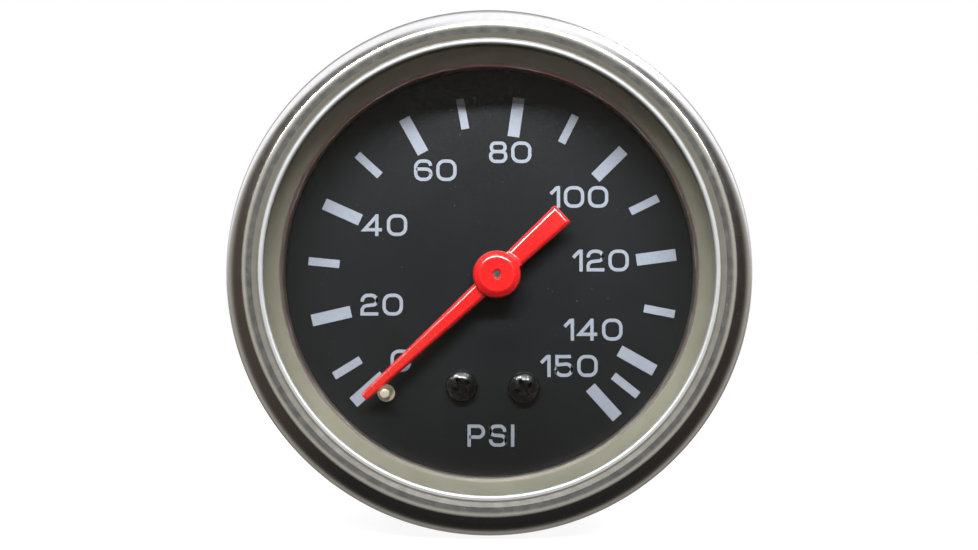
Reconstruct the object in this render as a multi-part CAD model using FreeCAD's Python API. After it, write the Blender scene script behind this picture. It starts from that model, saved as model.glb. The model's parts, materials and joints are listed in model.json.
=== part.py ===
import FreeCAD, Part
import math
import os

Vector = FreeCAD.Vector

# A panel pressure gauge. The case axis is Y, the dial faces -Y and +Z is up. The origin is on the case axis
# in the plane of the bezel's rear face, which seats on the panel. Front-view angles run counter-clockwise
# from +X. All sizes are in millimetres.

# Bezel: a chromed ring rolled from sheet over the flange of the case.
BEZEL_RADIUS = 30.0
BEZEL_SHEET = 0.6
BEZEL_CORNER = 1.0
BEAD_RADIUS = 4.5
BEAD_START_Y = -3.4
BEAD_END_RADIUS = 27.3
CREST_RADIUS = 26.85
CREST_Y = -7.7
LAND_RADIUS = 25.72
LAND_Y = -7.54
LIP_RADIUS = 25.25
LIP_ROUND = 0.25
LIP_Y = -7.6
LIP_UNDERCUT_RADIUS = 25.32

# The stack that the bezel holds: glass, gasket, reflector and seal, from the front to the case flange.
GLASS_FRONT_Y = -6.3
GLASS_THICKNESS = 1.5
GLASS_RADIUS = 27.9
GASKET_THICKNESS = 0.4
GASKET_BORE_RADIUS = 25.8
STACK_RADIUS = 29.0
REFLECTOR_SHEET = 0.6
REFLECTOR_FOOT_RADIUS = 25.5
REFLECTOR_EDGE_RADIUS = 23.55
REFLECTOR_EDGE_Y = -2.8
REFLECTOR_SKIRT_Y = -1.3
SEAL_BORE_RADIUS = 27.2

# Case: a drawn steel can with a flange at its mouth.
CASE_RADIUS = 26.0
CASE_SHEET = 0.8
CASE_DEPTH = 27.0
CASE_CORNER = 2.0
NECK_RADIUS = 26.5
FLANGE_REAR_Y = -BEZEL_SHEET
FLANGE_FRONT_Y = FLANGE_REAR_Y - CASE_SHEET

# Dial
DIAL_RADIUS = 24.9
DIAL_FRONT_Y = -1.1
DIAL_THICKNESS = 0.8
DIAL_SCREWS = ((-3.19, -13.26), (3.96, -13.5))
DIAL_SCREW_HEAD_RADIUS = 1.85
DIAL_SCREW_HEAD_HEIGHT = 1.2
DIAL_SCREW_RADIUS = 1.0
DIAL_SCREW_LENGTH = 2.4
DIAL_POST_RADIUS = 1.8
DIAL_SPIGOT_RADIUS = 0.9
DIAL_POST_BORE_DEPTH = 2.5
SHAFT_CLEARANCE_RADIUS = 2.2
SCREW_CLEARANCE = 0.1

# Stop pin, which is riveted through the dial
STOP = (-11.83, -14.07)
STOP_RADIUS = 0.65
STOP_TOP_Y = -3.7
STOP_TOP_ROUND = 0.2
STOP_COLLAR_RADIUS = 1.0
STOP_COLLAR_HEIGHT = 0.45
STOP_RIVET_HEIGHT = 0.4

# Movement pivots in the front view. The pointer's shaft is a little right of the case axis.
SHAFT = (0.87, -0.54)
SECTOR = (8.583, -9.733)

# Gears: a full pinion and a toothed sector, cut with opposite profile shifts so that the small pinion isn't
# undercut.
MODULE = 0.2
PINION_TEETH = 12
SECTOR_TEETH = 108
PRESSURE_ANGLE = math.radians(20)
PROFILE_SHIFT = 0.3
BACKLASH = 0.03
SECTOR_TRAVEL = 30.25

# Pointer
POINTER_REST = 222.8
POINTER_TIP = 20.6
POINTER_TAIL = 10.35
POINTER_TIP_HALF_WIDTH = 0.52
POINTER_SHAFT_HALF_WIDTH = 1.08
POINTER_TAIL_HALF_WIDTH = 1.37
POINTER_TIP_ROUND = 0.2
POINTER_TAIL_ROUND = 0.28
POINTER_TOP_Y = -3.3
POINTER_THICKNESS = 0.5
HUB_RADIUS = 2.75
HUB_ROUND = 0.5
HUB_TOP_Y = -4.2
HUB_REAR_Y = -2.4
HUB_EYE_RADIUS = 0.42
HUB_EYE_DEPTH = 0.5
BUSH_RADIUS = 1.1
BUSH_PROUD = 0.6

# Movement stack along Y
FRONT_PLATE_Y = 3.0
BACK_PLATE_Y = 9.5
PLATE_THICKNESS = 1.0
PLATE_ROUND = 1.8
ARBOR_FRONT_Y = 4.2
ARBOR_REAR_Y = 9.3
PIVOT_END_Y = 10.3
RUNNING_GAP = 0.04
SECTOR_Y = 5.5
SECTOR_THICKNESS = 0.8
SECTOR_HUB_RADIUS = 2.2
SECTOR_TAIL_HALF_WIDTH = 1.1
SECTOR_SPARE_TEETH = 2
WINDOW_INNER_RADIUS = 3.6
WINDOW_OUTER_RADIUS = 8.6
WINDOW_INNER_HALF_ANGLE = 15.6
WINDOW_OUTER_HALF_ANGLE = 12.0
PINION_Y = 4.9
PINION_LENGTH = 1.9
SHAFT_RADIUS = 0.45
SHAFT_NOSE_Y = -3.95
SHOULDER_RADIUS = 0.8
REAR_ARBOR_RADIUS = 0.7
PIVOT_RADIUS = 0.4
SECTOR_ARBOR_RADIUS = 0.9
PILLARS = ((-8.0, -10.5), (-6.5, 6.0), (8.5, 4.5))
PILLAR_RADIUS = 1.3
PILLAR_BORE_DEPTH = 2.5
FRONT_PLATE_FEET = ((-8.0, -13.2), (10.3, -12.0))
BACK_PLATE_FOOT = (10.3, -10.5)
PLATE_SCREW_LENGTH = 2.4
PLATE_SCREW_RADIUS = 0.7
PLATE_SCREW_HEAD_RADIUS = 1.3
PLATE_SCREW_HEAD_HEIGHT = 0.7
BASE_SCREWS = ((-3.5, -8.5), (-4.3, 3.6))
BASE_SCREW_RADIUS = 1.0
BASE_SCREW_HEAD_RADIUS = 1.6
BASE_SCREW_HEAD_HEIGHT = 1.1
BASE_SCREW_LENGTH = 3.4
BASE_BORE_DEPTH = 3.5

# Hairspring
COLLET_RADIUS = 1.3
COLLET_Y = 7.5
COLLET_LENGTH = 0.9
SPRING_STRIP = 0.12
SPRING_WIDTH = 0.6
SPRING_Y = 7.65
SPRING_TURNS = 3.5
SPRING_OUTER_RADIUS = 4.0
SPRING_STEPS = 42
COLLET_GAP = 0.03
STUD_RADIUS = 0.5

# Bourdon tube: a flattened tube bent to a C about the case axis.
TUBE_RADIUS = 18.5
TUBE_HALF_THICKNESS = 1.2
TUBE_WIDTH = 8.0
TUBE_WALL = 0.35
TUBE_Y = 8.5
TUBE_START = 262.0
TUBE_END = -15.0
TIP_BLOCK_START = -7.0
TIP_BLOCK_END = -21.0
TIP_BLOCK_SIDE = 0.4

# Link from the tube's tip to the tail of the sector
TIP_PIVOT = (14.883, -4.033)
TAIL_LENGTH = 3.8
TAIL_ANGLE = -20.0
LINK_Y = 4.7
LINK_THICKNESS = 0.5
LINK_HALF_WIDTH = 0.7
LINK_EYE_RADIUS = 1.0
LINK_PIN_RADIUS = 0.5
LINK_PIN_HEAD_RADIUS = 0.8
LINK_PIN_HEAD_HEIGHT = 0.3
LINK_FRONT_GAP = 0.1
LINK_REAR_GAP = 0.05
LINK_OPEN_GAP = 0.12
LUG_Y = 5.4
LUG_THICKNESS = 2.0
LUG_RADIUS = 1.2
LUG_ROOT_INSET = 0.6
LUG_ROOT_ANGLE = -14.0

# Socket: a brass block that carries the tube, the movement and the pressure port.
BLOCK_LEFT = -8.0
BLOCK_RIGHT = 7.0
BLOCK_TOP = -15.6
BLOCK_BOTTOM = -21.8
BLOCK_FRONT_Y = 4.0
WEB_FRONT_Y = BACK_PLATE_Y + PLATE_THICKNESS
WEB_REAR_Y = 17.0
WEB_HALF_WIDTH = 6.0
WEB_TOP = 6.0
COLUMN_RADIUS = 8.0
COLUMN_START_Y = 15.0
SOCKET_FLANGE_RADIUS = 13.2
SOCKET_FLANGE_Y = 22.6
STEM_GASKET_THICKNESS = 0.6
SOCKET_FACE_Y = CASE_DEPTH - CASE_SHEET - STEM_GASKET_THICKNESS
HEX_ACROSS_FLATS = 12.7
HEX_END_Y = 33.5
HEX_CHAMFER = 0.8
HEX_CHAMFER_LENGTH = 0.48
BACK_HOLE_RADIUS = 7.5
GASKET_HOLE_RADIUS = 7.6
PORT_RELIEF_START_Y = 32.5
PORT_RELIEF_END_Y = 34.0
PORT_RELIEF_RADIUS = 4.4
PORT_START_Y = 34.5
PORT_LENGTH = 9.5
PORT_SMALL_RADIUS = 4.993
PORT_CHAMFER = 0.6
PORT_TAPER = 1 / 32
THREAD_PITCH = 0.9407
THREAD_DEPTH = 0.7
THREAD_HALF_MOUTH = 0.527
THREAD_FLANK_ANGLE = 30.0
PORT_BORE_RADIUS = 1.6
PORT_BORE_START_Y = 13.0
PASSAGE_RADIUS = 1.0
PASSAGE_Y = 14.5
PASSAGE_INSET_ANGLE = 1.8
RESTRICTOR_Y = 37.0
RESTRICTOR_LENGTH = 3.0
RESTRICTOR_HOLE_RADIUS = 0.2

# Back of the case
SOCKET_SCREW_X = 10.2
SOCKET_SCREW_RADIUS = 1.5
SOCKET_SCREW_HEAD_RADIUS = 2.7
SOCKET_SCREW_HEAD_HEIGHT = 1.9
SOCKET_SCREW_END_Y = 23.0
SOCKET_SCREW_BORE_END_Y = 22.8
STUD_X = 18.0
MOUNTING_STUD_RADIUS = 2.0
MOUNTING_STUD_LENGTH = 20.0
MOUNTING_STUD_CHAMFER = 0.4
STUD_FOOT_RADIUS = 2.8
STUD_FOOT_THICKNESS = 0.7
VENT_Z = 18.0
VENT_RADIUS = 2.5
VENT_LIP_RADIUS = 3.6
VENT_LIP_THICKNESS = 1.0

# Pan heads, as shares of the head's radius and height
HEAD_ROUND_SHARE = 0.6
RECESS_WIDTH_SHARE = 0.3
RECESS_REACH_SHARE = 0.58
RECESS_DEPTH_SHARE = 0.6
RECESS_FLOOR_SHARE = 0.6


def polar(radius, degrees, centre=(0, 0)):
    """A point of the front view, as x and z."""
    turn = math.radians(degrees)
    return (centre[0] + radius * math.cos(turn), centre[1] + radius * math.sin(turn))


def loop(place, start, *steps):
    """A closed wire. A step is a point to run straight to, or an arc's middle and end points."""
    edges = []
    here = place(*start)
    for step in steps + (start,):
        if isinstance(step[0], tuple):
            middle, end = (place(*point) for point in step)
            edges.append(Part.Arc(here, middle, end).toShape())
        else:
            end = place(*step)
            if here.distanceToPoint(end) > 1e-6:
                edges.append(Part.LineSegment(here, end).toShape())
        here = end
    return Part.Wire(edges)


def in_section(radius, y):
    return Vector(radius, y, 0)


def in_front_view(x, z):
    return Vector(x, 0, z)


def lathe(start, *steps):
    """A solid turned about the case axis from a section given as radius and y."""
    face = Part.Face(loop(in_section, start, *steps))
    return face.revolve(Vector(0, 0, 0), Vector(0, 1, 0), 360)


def plate(wire, y, thickness):
    face = Part.Face(wire)
    face.translate(Vector(0, y, 0))
    return face.extrude(Vector(0, thickness, 0))


def rod(centre, radius, y_start, y_end):
    return Part.makeCylinder(radius, y_end - y_start, Vector(centre[0], y_start, centre[1]), Vector(0, 1, 0))


def ring(centre, outer, inner, y_start, y_end):
    return rod(centre, outer, y_start, y_end).cut(rod(centre, inner, y_start, y_end))


def joined(first, *others):
    return first.fuse(list(others)).removeSplitter()


def edges_at(shape, y):
    """The shape's edges that lie in a plane across the case axis."""
    return [edge for edge in shape.Edges if abs(edge.CenterOfMass.y - y) < 1e-6]


def rounded_plate(corners, rounding, y, thickness):
    points = [in_front_view(*corner) for corner in corners]
    outline = Part.makePolygon(points + points[:1])
    return plate(outline.makeOffset2D(rounding), y, thickness)


def hexagon(across_flats, y_start, y_end):
    """A hexagon bar on the case axis with flats to the left and right."""
    corners = [in_front_view(*polar(across_flats / math.sqrt(3), 30 + 60 * i)) for i in range(6)]
    return plate(Part.makePolygon(corners + corners[:1]), y_start, y_end - y_start)


def strap(start, end, half_width, y, thickness):
    """A straight flat bar with round ends."""
    along = in_front_view(*end) - in_front_view(*start)
    side = Vector(-along.z, 0, along.x).normalize() * half_width
    corners = [in_front_view(*start) + side, in_front_view(*start) - side,
               in_front_view(*end) - side, in_front_view(*end) + side]
    bar = plate(Part.makePolygon(corners + corners[:1]), y, thickness)
    ends = [rod(point, half_width, y, y + thickness) for point in (start, end)]
    return joined(bar, *ends)


def cross_recess(centre, width, reach, y, depth):
    """The cutter for a cross recess that narrows with depth, with its mouth at y."""
    blades = []
    for along_x in (True, False):
        half = (reach, width / 2) if along_x else (width / 2, reach)
        floor = (half[0] * RECESS_FLOOR_SHARE, half[1] * RECESS_FLOOR_SHARE)
        mouth, bottom = [
            Part.makePolygon([Vector(centre[0] + sx * w[0], level, centre[1] + sz * w[1])
                              for sx, sz in ((1, 1), (-1, 1), (-1, -1), (1, -1), (1, 1))])
            for w, level in ((half, y), (floor, y + depth))
        ]
        blades.append(Part.makeLoft([mouth, bottom], True, True))
    return joined(*blades)


def pan_screw(centre, radius, head_radius, head_height, seat_y, end_y, towards):
    """A pan-head cross-recess screw. The head stands on seat_y towards the front (-1) or the rear (+1)."""
    top = seat_y + towards * head_height
    head = rod(centre, head_radius, min(seat_y, top), max(seat_y, top))
    head = head.makeFillet(head_height * HEAD_ROUND_SHARE, edges_at(head, top))
    shank = rod(centre, radius, min(seat_y, end_y), max(seat_y, end_y))
    recess = cross_recess(
        centre, head_radius * RECESS_WIDTH_SHARE, head_radius * RECESS_REACH_SHARE, top,
        -towards * head_height * RECESS_DEPTH_SHARE,
    )
    return joined(head, shank).cut(recess)


def bezel_ring():
    bead_centre = BEZEL_RADIUS - BEAD_RADIUS
    bead_end_y = BEAD_START_Y - math.sqrt(BEAD_RADIUS ** 2 - (BEAD_END_RADIUS - bead_centre) ** 2)
    lip_side_y = LIP_Y + LIP_ROUND
    inside = BEAD_RADIUS - BEZEL_SHEET
    under_radius = bead_centre + math.sqrt(inside ** 2 - (BEAD_START_Y - GLASS_FRONT_Y) ** 2)
    wall = BEZEL_RADIUS - BEZEL_SHEET
    corner = BEZEL_RADIUS - BEZEL_CORNER

    def on_bead(radius, degrees):
        return polar(radius, degrees, (bead_centre, BEAD_START_Y))

    def on_corner(radius):
        return polar(radius, 45, (corner, -BEZEL_CORNER))

    inner_corner = BEZEL_CORNER - BEZEL_SHEET
    return lathe(
        (NECK_RADIUS, 0), (corner, 0), (on_corner(BEZEL_CORNER), (BEZEL_RADIUS, -BEZEL_CORNER)),
        (BEZEL_RADIUS, BEAD_START_Y), (on_bead(BEAD_RADIUS, -32), (BEAD_END_RADIUS, bead_end_y)),
        (CREST_RADIUS, CREST_Y), (LAND_RADIUS, LAND_Y), (LIP_RADIUS, LIP_Y),
        (polar(LIP_ROUND, -135, (LIP_RADIUS, lip_side_y)), (LIP_RADIUS - LIP_ROUND, lip_side_y)),
        (LIP_UNDERCUT_RADIUS, GLASS_FRONT_Y), (under_radius, GLASS_FRONT_Y),
        (on_bead(inside, -24), (wall, BEAD_START_Y)),
        (wall, -BEZEL_CORNER), (on_corner(inner_corner), (corner, -BEZEL_SHEET)), (NECK_RADIUS, -BEZEL_SHEET),
    )


def lens():
    rear = GLASS_FRONT_Y + GLASS_THICKNESS
    return rod((0, 0), GLASS_RADIUS, GLASS_FRONT_Y, rear)


def lens_gasket():
    front = GLASS_FRONT_Y + GLASS_THICKNESS
    return ring((0, 0), STACK_RADIUS, GASKET_BORE_RADIUS, front, front + GASKET_THICKNESS)


def reflector_ring():
    front = GLASS_FRONT_Y + GLASS_THICKNESS + GASKET_THICKNESS
    rear = front + REFLECTOR_SHEET
    edge = REFLECTOR_EDGE_RADIUS
    return lathe(
        (STACK_RADIUS, front), (REFLECTOR_FOOT_RADIUS, front), (edge + 0.25, REFLECTOR_EDGE_Y - 0.32),
        ((edge + 0.06, REFLECTOR_EDGE_Y - 0.16), (edge, REFLECTOR_EDGE_Y + 0.05)),
        (edge, REFLECTOR_SKIRT_Y), (edge + REFLECTOR_SHEET, REFLECTOR_SKIRT_Y),
        (edge + REFLECTOR_SHEET, REFLECTOR_EDGE_Y + 0.2), (REFLECTOR_FOOT_RADIUS + 0.2, rear),
        (STACK_RADIUS, rear),
    )


def case_seal():
    front = GLASS_FRONT_Y + GLASS_THICKNESS + GASKET_THICKNESS + REFLECTOR_SHEET
    return ring((0, 0), STACK_RADIUS, SEAL_BORE_RADIUS, front, FLANGE_FRONT_Y)


def back_holes():
    """The holes in the back of the case: port, two socket screws and the vent."""
    start, end = CASE_DEPTH - 2 * CASE_SHEET, CASE_DEPTH + CASE_SHEET
    holes = [rod((0, 0), BACK_HOLE_RADIUS, start, end), rod((0, VENT_Z), VENT_RADIUS, start, end)]
    clear = SOCKET_SCREW_RADIUS + SCREW_CLEARANCE
    return holes + [rod((side * SOCKET_SCREW_X, 0), clear, start, end) for side in (-1, 1)]


def case_shell():
    inside = CASE_RADIUS - CASE_SHEET
    back = CASE_DEPTH - CASE_SHEET
    centre = (CASE_RADIUS - CASE_CORNER, CASE_DEPTH - CASE_CORNER)
    inner_corner = CASE_CORNER - CASE_SHEET
    can = lathe(
        (inside, FLANGE_FRONT_Y), (STACK_RADIUS, FLANGE_FRONT_Y), (STACK_RADIUS, FLANGE_REAR_Y),
        (NECK_RADIUS, FLANGE_REAR_Y), (NECK_RADIUS, 0), (CASE_RADIUS, 0), (CASE_RADIUS, centre[1]),
        (polar(CASE_CORNER, 45, centre), (centre[0], CASE_DEPTH)), (0, CASE_DEPTH), (0, back),
        (centre[0], back), (polar(inner_corner, 45, centre), (inside, centre[1])),
    )
    return can.cut(back_holes())


def dial_plate():
    rear = DIAL_FRONT_Y + DIAL_THICKNESS
    holes = [rod(SHAFT, SHAFT_CLEARANCE_RADIUS, DIAL_FRONT_Y, rear)]
    holes += [rod(place, DIAL_SCREW_RADIUS + SCREW_CLEARANCE, DIAL_FRONT_Y, rear) for place in DIAL_SCREWS]
    holes.append(rod(STOP, STOP_RADIUS, DIAL_FRONT_Y, rear))
    return rod((0, 0), DIAL_RADIUS, DIAL_FRONT_Y, rear).cut(holes)


def dial_screws():
    end = DIAL_FRONT_Y + DIAL_THICKNESS + DIAL_SCREW_LENGTH
    return Part.makeCompound([
        pan_screw(place, DIAL_SCREW_RADIUS, DIAL_SCREW_HEAD_RADIUS, DIAL_SCREW_HEAD_HEIGHT,
                  DIAL_FRONT_Y, end, -1)
        for place in DIAL_SCREWS
    ])


def dial_posts():
    front = DIAL_FRONT_Y + DIAL_THICKNESS
    posts = []
    for place in DIAL_SCREWS:
        body = rod(place, DIAL_POST_RADIUS, front, FRONT_PLATE_Y)
        spigot = rod(place, DIAL_SPIGOT_RADIUS, FRONT_PLATE_Y, FRONT_PLATE_Y + PLATE_THICKNESS)
        bore = rod(place, DIAL_SCREW_RADIUS, front, front + DIAL_POST_BORE_DEPTH)
        posts.append(joined(body, spigot).cut(bore))
    return Part.makeCompound(posts)


def stop_pin():
    dial_rear = DIAL_FRONT_Y + DIAL_THICKNESS
    post = rod(STOP, STOP_RADIUS, STOP_TOP_Y, dial_rear)
    post = post.makeFillet(STOP_TOP_ROUND, edges_at(post, STOP_TOP_Y))
    collar = rod(STOP, STOP_COLLAR_RADIUS, DIAL_FRONT_Y - STOP_COLLAR_HEIGHT, DIAL_FRONT_Y)
    rivet = rod(STOP, STOP_COLLAR_RADIUS, dial_rear, dial_rear + STOP_RIVET_HEIGHT)
    return joined(post, collar, rivet)


def along_pointer(along, across):
    """A point of the pointer at rest, from its distance along the needle and to the needle's left."""
    turn = math.radians(POINTER_REST)
    x = SHAFT[0] + along * math.cos(turn) - across * math.sin(turn)
    z = SHAFT[1] + along * math.sin(turn) + across * math.cos(turn)
    return Vector(x, 0, z)


def pointer():
    half = ((-POINTER_TAIL, POINTER_TAIL_HALF_WIDTH), (0, POINTER_SHAFT_HALF_WIDTH),
            (POINTER_TIP, POINTER_TIP_HALF_WIDTH))
    corners = half + tuple((along, -across) for along, across in half[::-1])
    arm = plate(loop(along_pointer, *corners), POINTER_TOP_Y, POINTER_THICKNESS)
    for end, rounding in ((-POINTER_TAIL, POINTER_TAIL_ROUND), (POINTER_TIP, POINTER_TIP_ROUND)):
        reach = along_pointer(end, 0)
        ahead = in_front_view(*SHAFT) - reach
        corner_edges = [
            edge for edge in arm.Edges
            if edge.Length <= POINTER_THICKNESS + 1e-6 and abs((edge.CenterOfMass - reach).dot(ahead)) < 1e-3
        ]
        arm = arm.makeFillet(rounding, corner_edges)
    hub = rod(SHAFT, HUB_RADIUS, HUB_TOP_Y, HUB_REAR_Y)
    hub = hub.makeFillet(HUB_ROUND, edges_at(hub, HUB_TOP_Y))
    bore = rod(SHAFT, BUSH_RADIUS, HUB_TOP_Y + HUB_EYE_DEPTH, HUB_REAR_Y)
    eye = rod(SHAFT, HUB_EYE_RADIUS, HUB_TOP_Y, HUB_TOP_Y + HUB_EYE_DEPTH)
    return joined(arm, hub).cut([bore, eye])


def pointer_bush():
    return ring(SHAFT, BUSH_RADIUS, SHAFT_RADIUS, HUB_TOP_Y + HUB_EYE_DEPTH, HUB_REAR_Y + BUSH_PROUD)


def involute_angle(base_radius, radius):
    """The angle that an involute has turned through where it reaches a radius."""
    roll = math.sqrt(max((radius / base_radius) ** 2 - 1, 0))
    return roll - math.atan(roll)


def tooth_points(teeth, shift):
    """One tooth about angle 0 as (radius, angle) points, from root to root."""
    pitch_radius = MODULE * teeth / 2
    base = pitch_radius * math.cos(PRESSURE_ANGLE)
    tip = pitch_radius + MODULE * (1 + shift)
    root = pitch_radius - MODULE * (1.25 - shift)
    thickness = MODULE * (math.pi / 2 + 2 * shift * math.tan(PRESSURE_ANGLE)) - BACKLASH / 2
    half = thickness / (2 * pitch_radius) + involute_angle(base, pitch_radius)
    start = max(base, root)
    flank = [(root, half)] if root < base else []
    flank += [
        (radius, half - involute_angle(base, radius))
        for radius in (start + (tip - start) * i / 5 for i in range(6))
    ]
    return [(radius, -angle) for radius, angle in flank] + [(radius, angle) for radius, angle in flank[::-1]]


def toothed_edge(centre, teeth, shift, middles):
    """Front-view points that run over the teeth whose middle angles are given in degrees."""
    points = []
    for middle in middles:
        for radius, angle in tooth_points(teeth, shift):
            points.append(in_front_view(*polar(radius, middle + math.degrees(angle), centre)))
    return points


def mesh_angle():
    """The front-view angle from the sector's pivot to the pointer's shaft."""
    return math.degrees(math.atan2(SHAFT[1] - SECTOR[1], SHAFT[0] - SECTOR[0]))


def sector_gear():
    pitch_angle = 360 / SECTOR_TEETH
    last = math.ceil(SECTOR_TRAVEL / pitch_angle) + SECTOR_SPARE_TEETH
    middles = [mesh_angle() + pitch_angle * i for i in range(-last, SECTOR_SPARE_TEETH + 1)]
    edge = toothed_edge(SECTOR, SECTOR_TEETH, -PROFILE_SHIFT, middles)
    wedge_angle = (middles[0] + middles[-1]) / 2
    foot = [in_front_view(*polar(SECTOR_HUB_RADIUS, wedge_angle + turn, SECTOR)) for turn in (70, -70)]
    wedge = plate(Part.makePolygon(edge + foot + edge[:1]), SECTOR_Y, SECTOR_THICKNESS)
    tail_end = polar(TAIL_LENGTH, TAIL_ANGLE, SECTOR)
    hub = rod(SECTOR, SECTOR_HUB_RADIUS, SECTOR_Y, SECTOR_Y + SECTOR_THICKNESS)
    tail = strap(SECTOR, tail_end, SECTOR_TAIL_HALF_WIDTH, SECTOR_Y, SECTOR_THICKNESS)

    def window_corner(radius, turn):
        return polar(radius, wedge_angle + turn, SECTOR)

    window = loop(
        in_front_view, window_corner(WINDOW_INNER_RADIUS, -WINDOW_INNER_HALF_ANGLE),
        window_corner(WINDOW_OUTER_RADIUS, -WINDOW_OUTER_HALF_ANGLE),
        (window_corner(WINDOW_OUTER_RADIUS, 0), window_corner(WINDOW_OUTER_RADIUS, WINDOW_OUTER_HALF_ANGLE)),
        window_corner(WINDOW_INNER_RADIUS, WINDOW_INNER_HALF_ANGLE),
    )
    cuts = [
        plate(window, SECTOR_Y, SECTOR_THICKNESS),
        rod(SECTOR, SECTOR_ARBOR_RADIUS, SECTOR_Y, SECTOR_Y + SECTOR_THICKNESS),
        rod(tail_end, LINK_PIN_RADIUS, SECTOR_Y, SECTOR_Y + SECTOR_THICKNESS),
    ]
    return joined(wedge, hub, tail).cut(cuts)


def sector_arbor():
    body = rod(SECTOR, SECTOR_ARBOR_RADIUS, ARBOR_FRONT_Y, ARBOR_REAR_Y)
    return joined(body, rod(SECTOR, PIVOT_RADIUS, FRONT_PLATE_Y, PIVOT_END_Y))


def pinion_arbor():
    """The pointer's shaft, cut with the pinion. A tooth space faces the sector."""
    pitch_angle = 360 / PINION_TEETH
    facing = mesh_angle() + 180
    middles = [facing + pitch_angle * (i + 0.5) for i in range(PINION_TEETH)]
    edge = toothed_edge(SHAFT, PINION_TEETH, PROFILE_SHIFT, middles)
    pinion = plate(Part.makePolygon(edge + edge[:1]), PINION_Y, PINION_LENGTH)
    shaft = rod(SHAFT, SHAFT_RADIUS, HUB_TOP_Y + HUB_EYE_DEPTH, PINION_Y)
    nose = rod(SHAFT, HUB_EYE_RADIUS, SHAFT_NOSE_Y, HUB_TOP_Y + HUB_EYE_DEPTH)
    shoulder = rod(SHAFT, SHOULDER_RADIUS, ARBOR_FRONT_Y, PINION_Y)
    arbor = rod(SHAFT, REAR_ARBOR_RADIUS, PINION_Y + PINION_LENGTH, ARBOR_REAR_Y)
    pivot = rod(SHAFT, PIVOT_RADIUS, ARBOR_REAR_Y, PIVOT_END_Y)
    return joined(pinion, shaft, nose, shoulder, arbor, pivot)


def hairspring_collet():
    return ring(SHAFT, COLLET_RADIUS, REAR_ARBOR_RADIUS, COLLET_Y, COLLET_Y + COLLET_LENGTH)


def hairspring():
    """A flat spiral strip from the collet out to the stud, which is to the right of the shaft."""
    start_radius = COLLET_RADIUS + SPRING_STRIP / 2 + COLLET_GAP

    def side(offset):
        points = []
        for i in range(SPRING_STEPS + 1):
            share = i / SPRING_STEPS
            radius = start_radius + (SPRING_OUTER_RADIUS - start_radius) * share + offset
            points.append(in_front_view(*polar(radius, 360 * SPRING_TURNS * (share - 1), SHAFT)))
        curve = Part.BSplineCurve()
        curve.interpolate(points)
        return curve.toShape(), points

    inner, inner_points = side(-SPRING_STRIP / 2)
    outer, outer_points = side(SPRING_STRIP / 2)
    caps = [Part.LineSegment(inner_points[end], outer_points[end]).toShape() for end in (0, -1)]
    outline = Part.Wire(Part.__sortEdges__([inner, caps[1], outer, caps[0]]))
    return plate(outline, SPRING_Y, SPRING_WIDTH)


def hairspring_stud():
    centre = polar(SPRING_OUTER_RADIUS, math.degrees(STUD_RADIUS / SPRING_OUTER_RADIUS), SHAFT)
    return rod(centre, STUD_RADIUS, SPRING_Y, BACK_PLATE_Y)


def front_plate_corners():
    return (FRONT_PLATE_FEET[0], PILLARS[1], PILLARS[2], FRONT_PLATE_FEET[1])


def movement_front_plate():
    blank = rounded_plate(front_plate_corners(), PLATE_ROUND, FRONT_PLATE_Y, PLATE_THICKNESS)
    end = FRONT_PLATE_Y + PLATE_THICKNESS
    holes = [rod(SHAFT, SHAFT_RADIUS + RUNNING_GAP, FRONT_PLATE_Y, end)]
    holes.append(rod(SECTOR, PIVOT_RADIUS + RUNNING_GAP, FRONT_PLATE_Y, end))
    holes += [rod(place, DIAL_SPIGOT_RADIUS, FRONT_PLATE_Y, end) for place in DIAL_SCREWS]
    holes += [rod(place, PLATE_SCREW_RADIUS, FRONT_PLATE_Y, end) for place in PILLARS]
    return blank.cut(holes)


def movement_back_plate():
    corners = PILLARS + (BACK_PLATE_FOOT,)
    blank = rounded_plate(corners, PLATE_ROUND, BACK_PLATE_Y, PLATE_THICKNESS)
    end = BACK_PLATE_Y + PLATE_THICKNESS
    holes = [rod(place, PIVOT_RADIUS + RUNNING_GAP, BACK_PLATE_Y, end) for place in (SHAFT, SECTOR)]
    holes += [rod(place, BASE_SCREW_RADIUS, BACK_PLATE_Y, end) for place in BASE_SCREWS]
    return blank.cut(holes)


def movement_pillars():
    front = FRONT_PLATE_Y + PLATE_THICKNESS
    bore_end = front + PILLAR_BORE_DEPTH
    return Part.makeCompound([
        rod(place, PILLAR_RADIUS, front, BACK_PLATE_Y).cut(rod(place, PLATE_SCREW_RADIUS, front, bore_end))
        for place in PILLARS
    ])


def movement_plate_screws():
    end = FRONT_PLATE_Y + PLATE_THICKNESS + PLATE_SCREW_LENGTH
    return Part.makeCompound([
        pan_screw(place, PLATE_SCREW_RADIUS, PLATE_SCREW_HEAD_RADIUS, PLATE_SCREW_HEAD_HEIGHT,
                  FRONT_PLATE_Y, end, -1)
        for place in PILLARS
    ])


def movement_base_screws():
    end = BACK_PLATE_Y + PLATE_THICKNESS + BASE_SCREW_LENGTH
    return Part.makeCompound([
        pan_screw(place, BASE_SCREW_RADIUS, BASE_SCREW_HEAD_RADIUS, BASE_SCREW_HEAD_HEIGHT,
                  BACK_PLATE_Y, end, -1)
        for place in BASE_SCREWS
    ])


def tube_section(half_thickness):
    """The flattened outline of the tube in the radius-y plane."""
    top, bottom = (TUBE_Y + side * (TUBE_WIDTH / 2 - TUBE_HALF_THICKNESS) for side in (-1, 1))
    left, right = TUBE_RADIUS - half_thickness, TUBE_RADIUS + half_thickness
    return loop(
        in_section, (left, bottom), (left, top), ((TUBE_RADIUS, top - half_thickness), (right, top)),
        (right, bottom), ((TUBE_RADIUS, bottom + half_thickness), (left, bottom)),
    )


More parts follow.
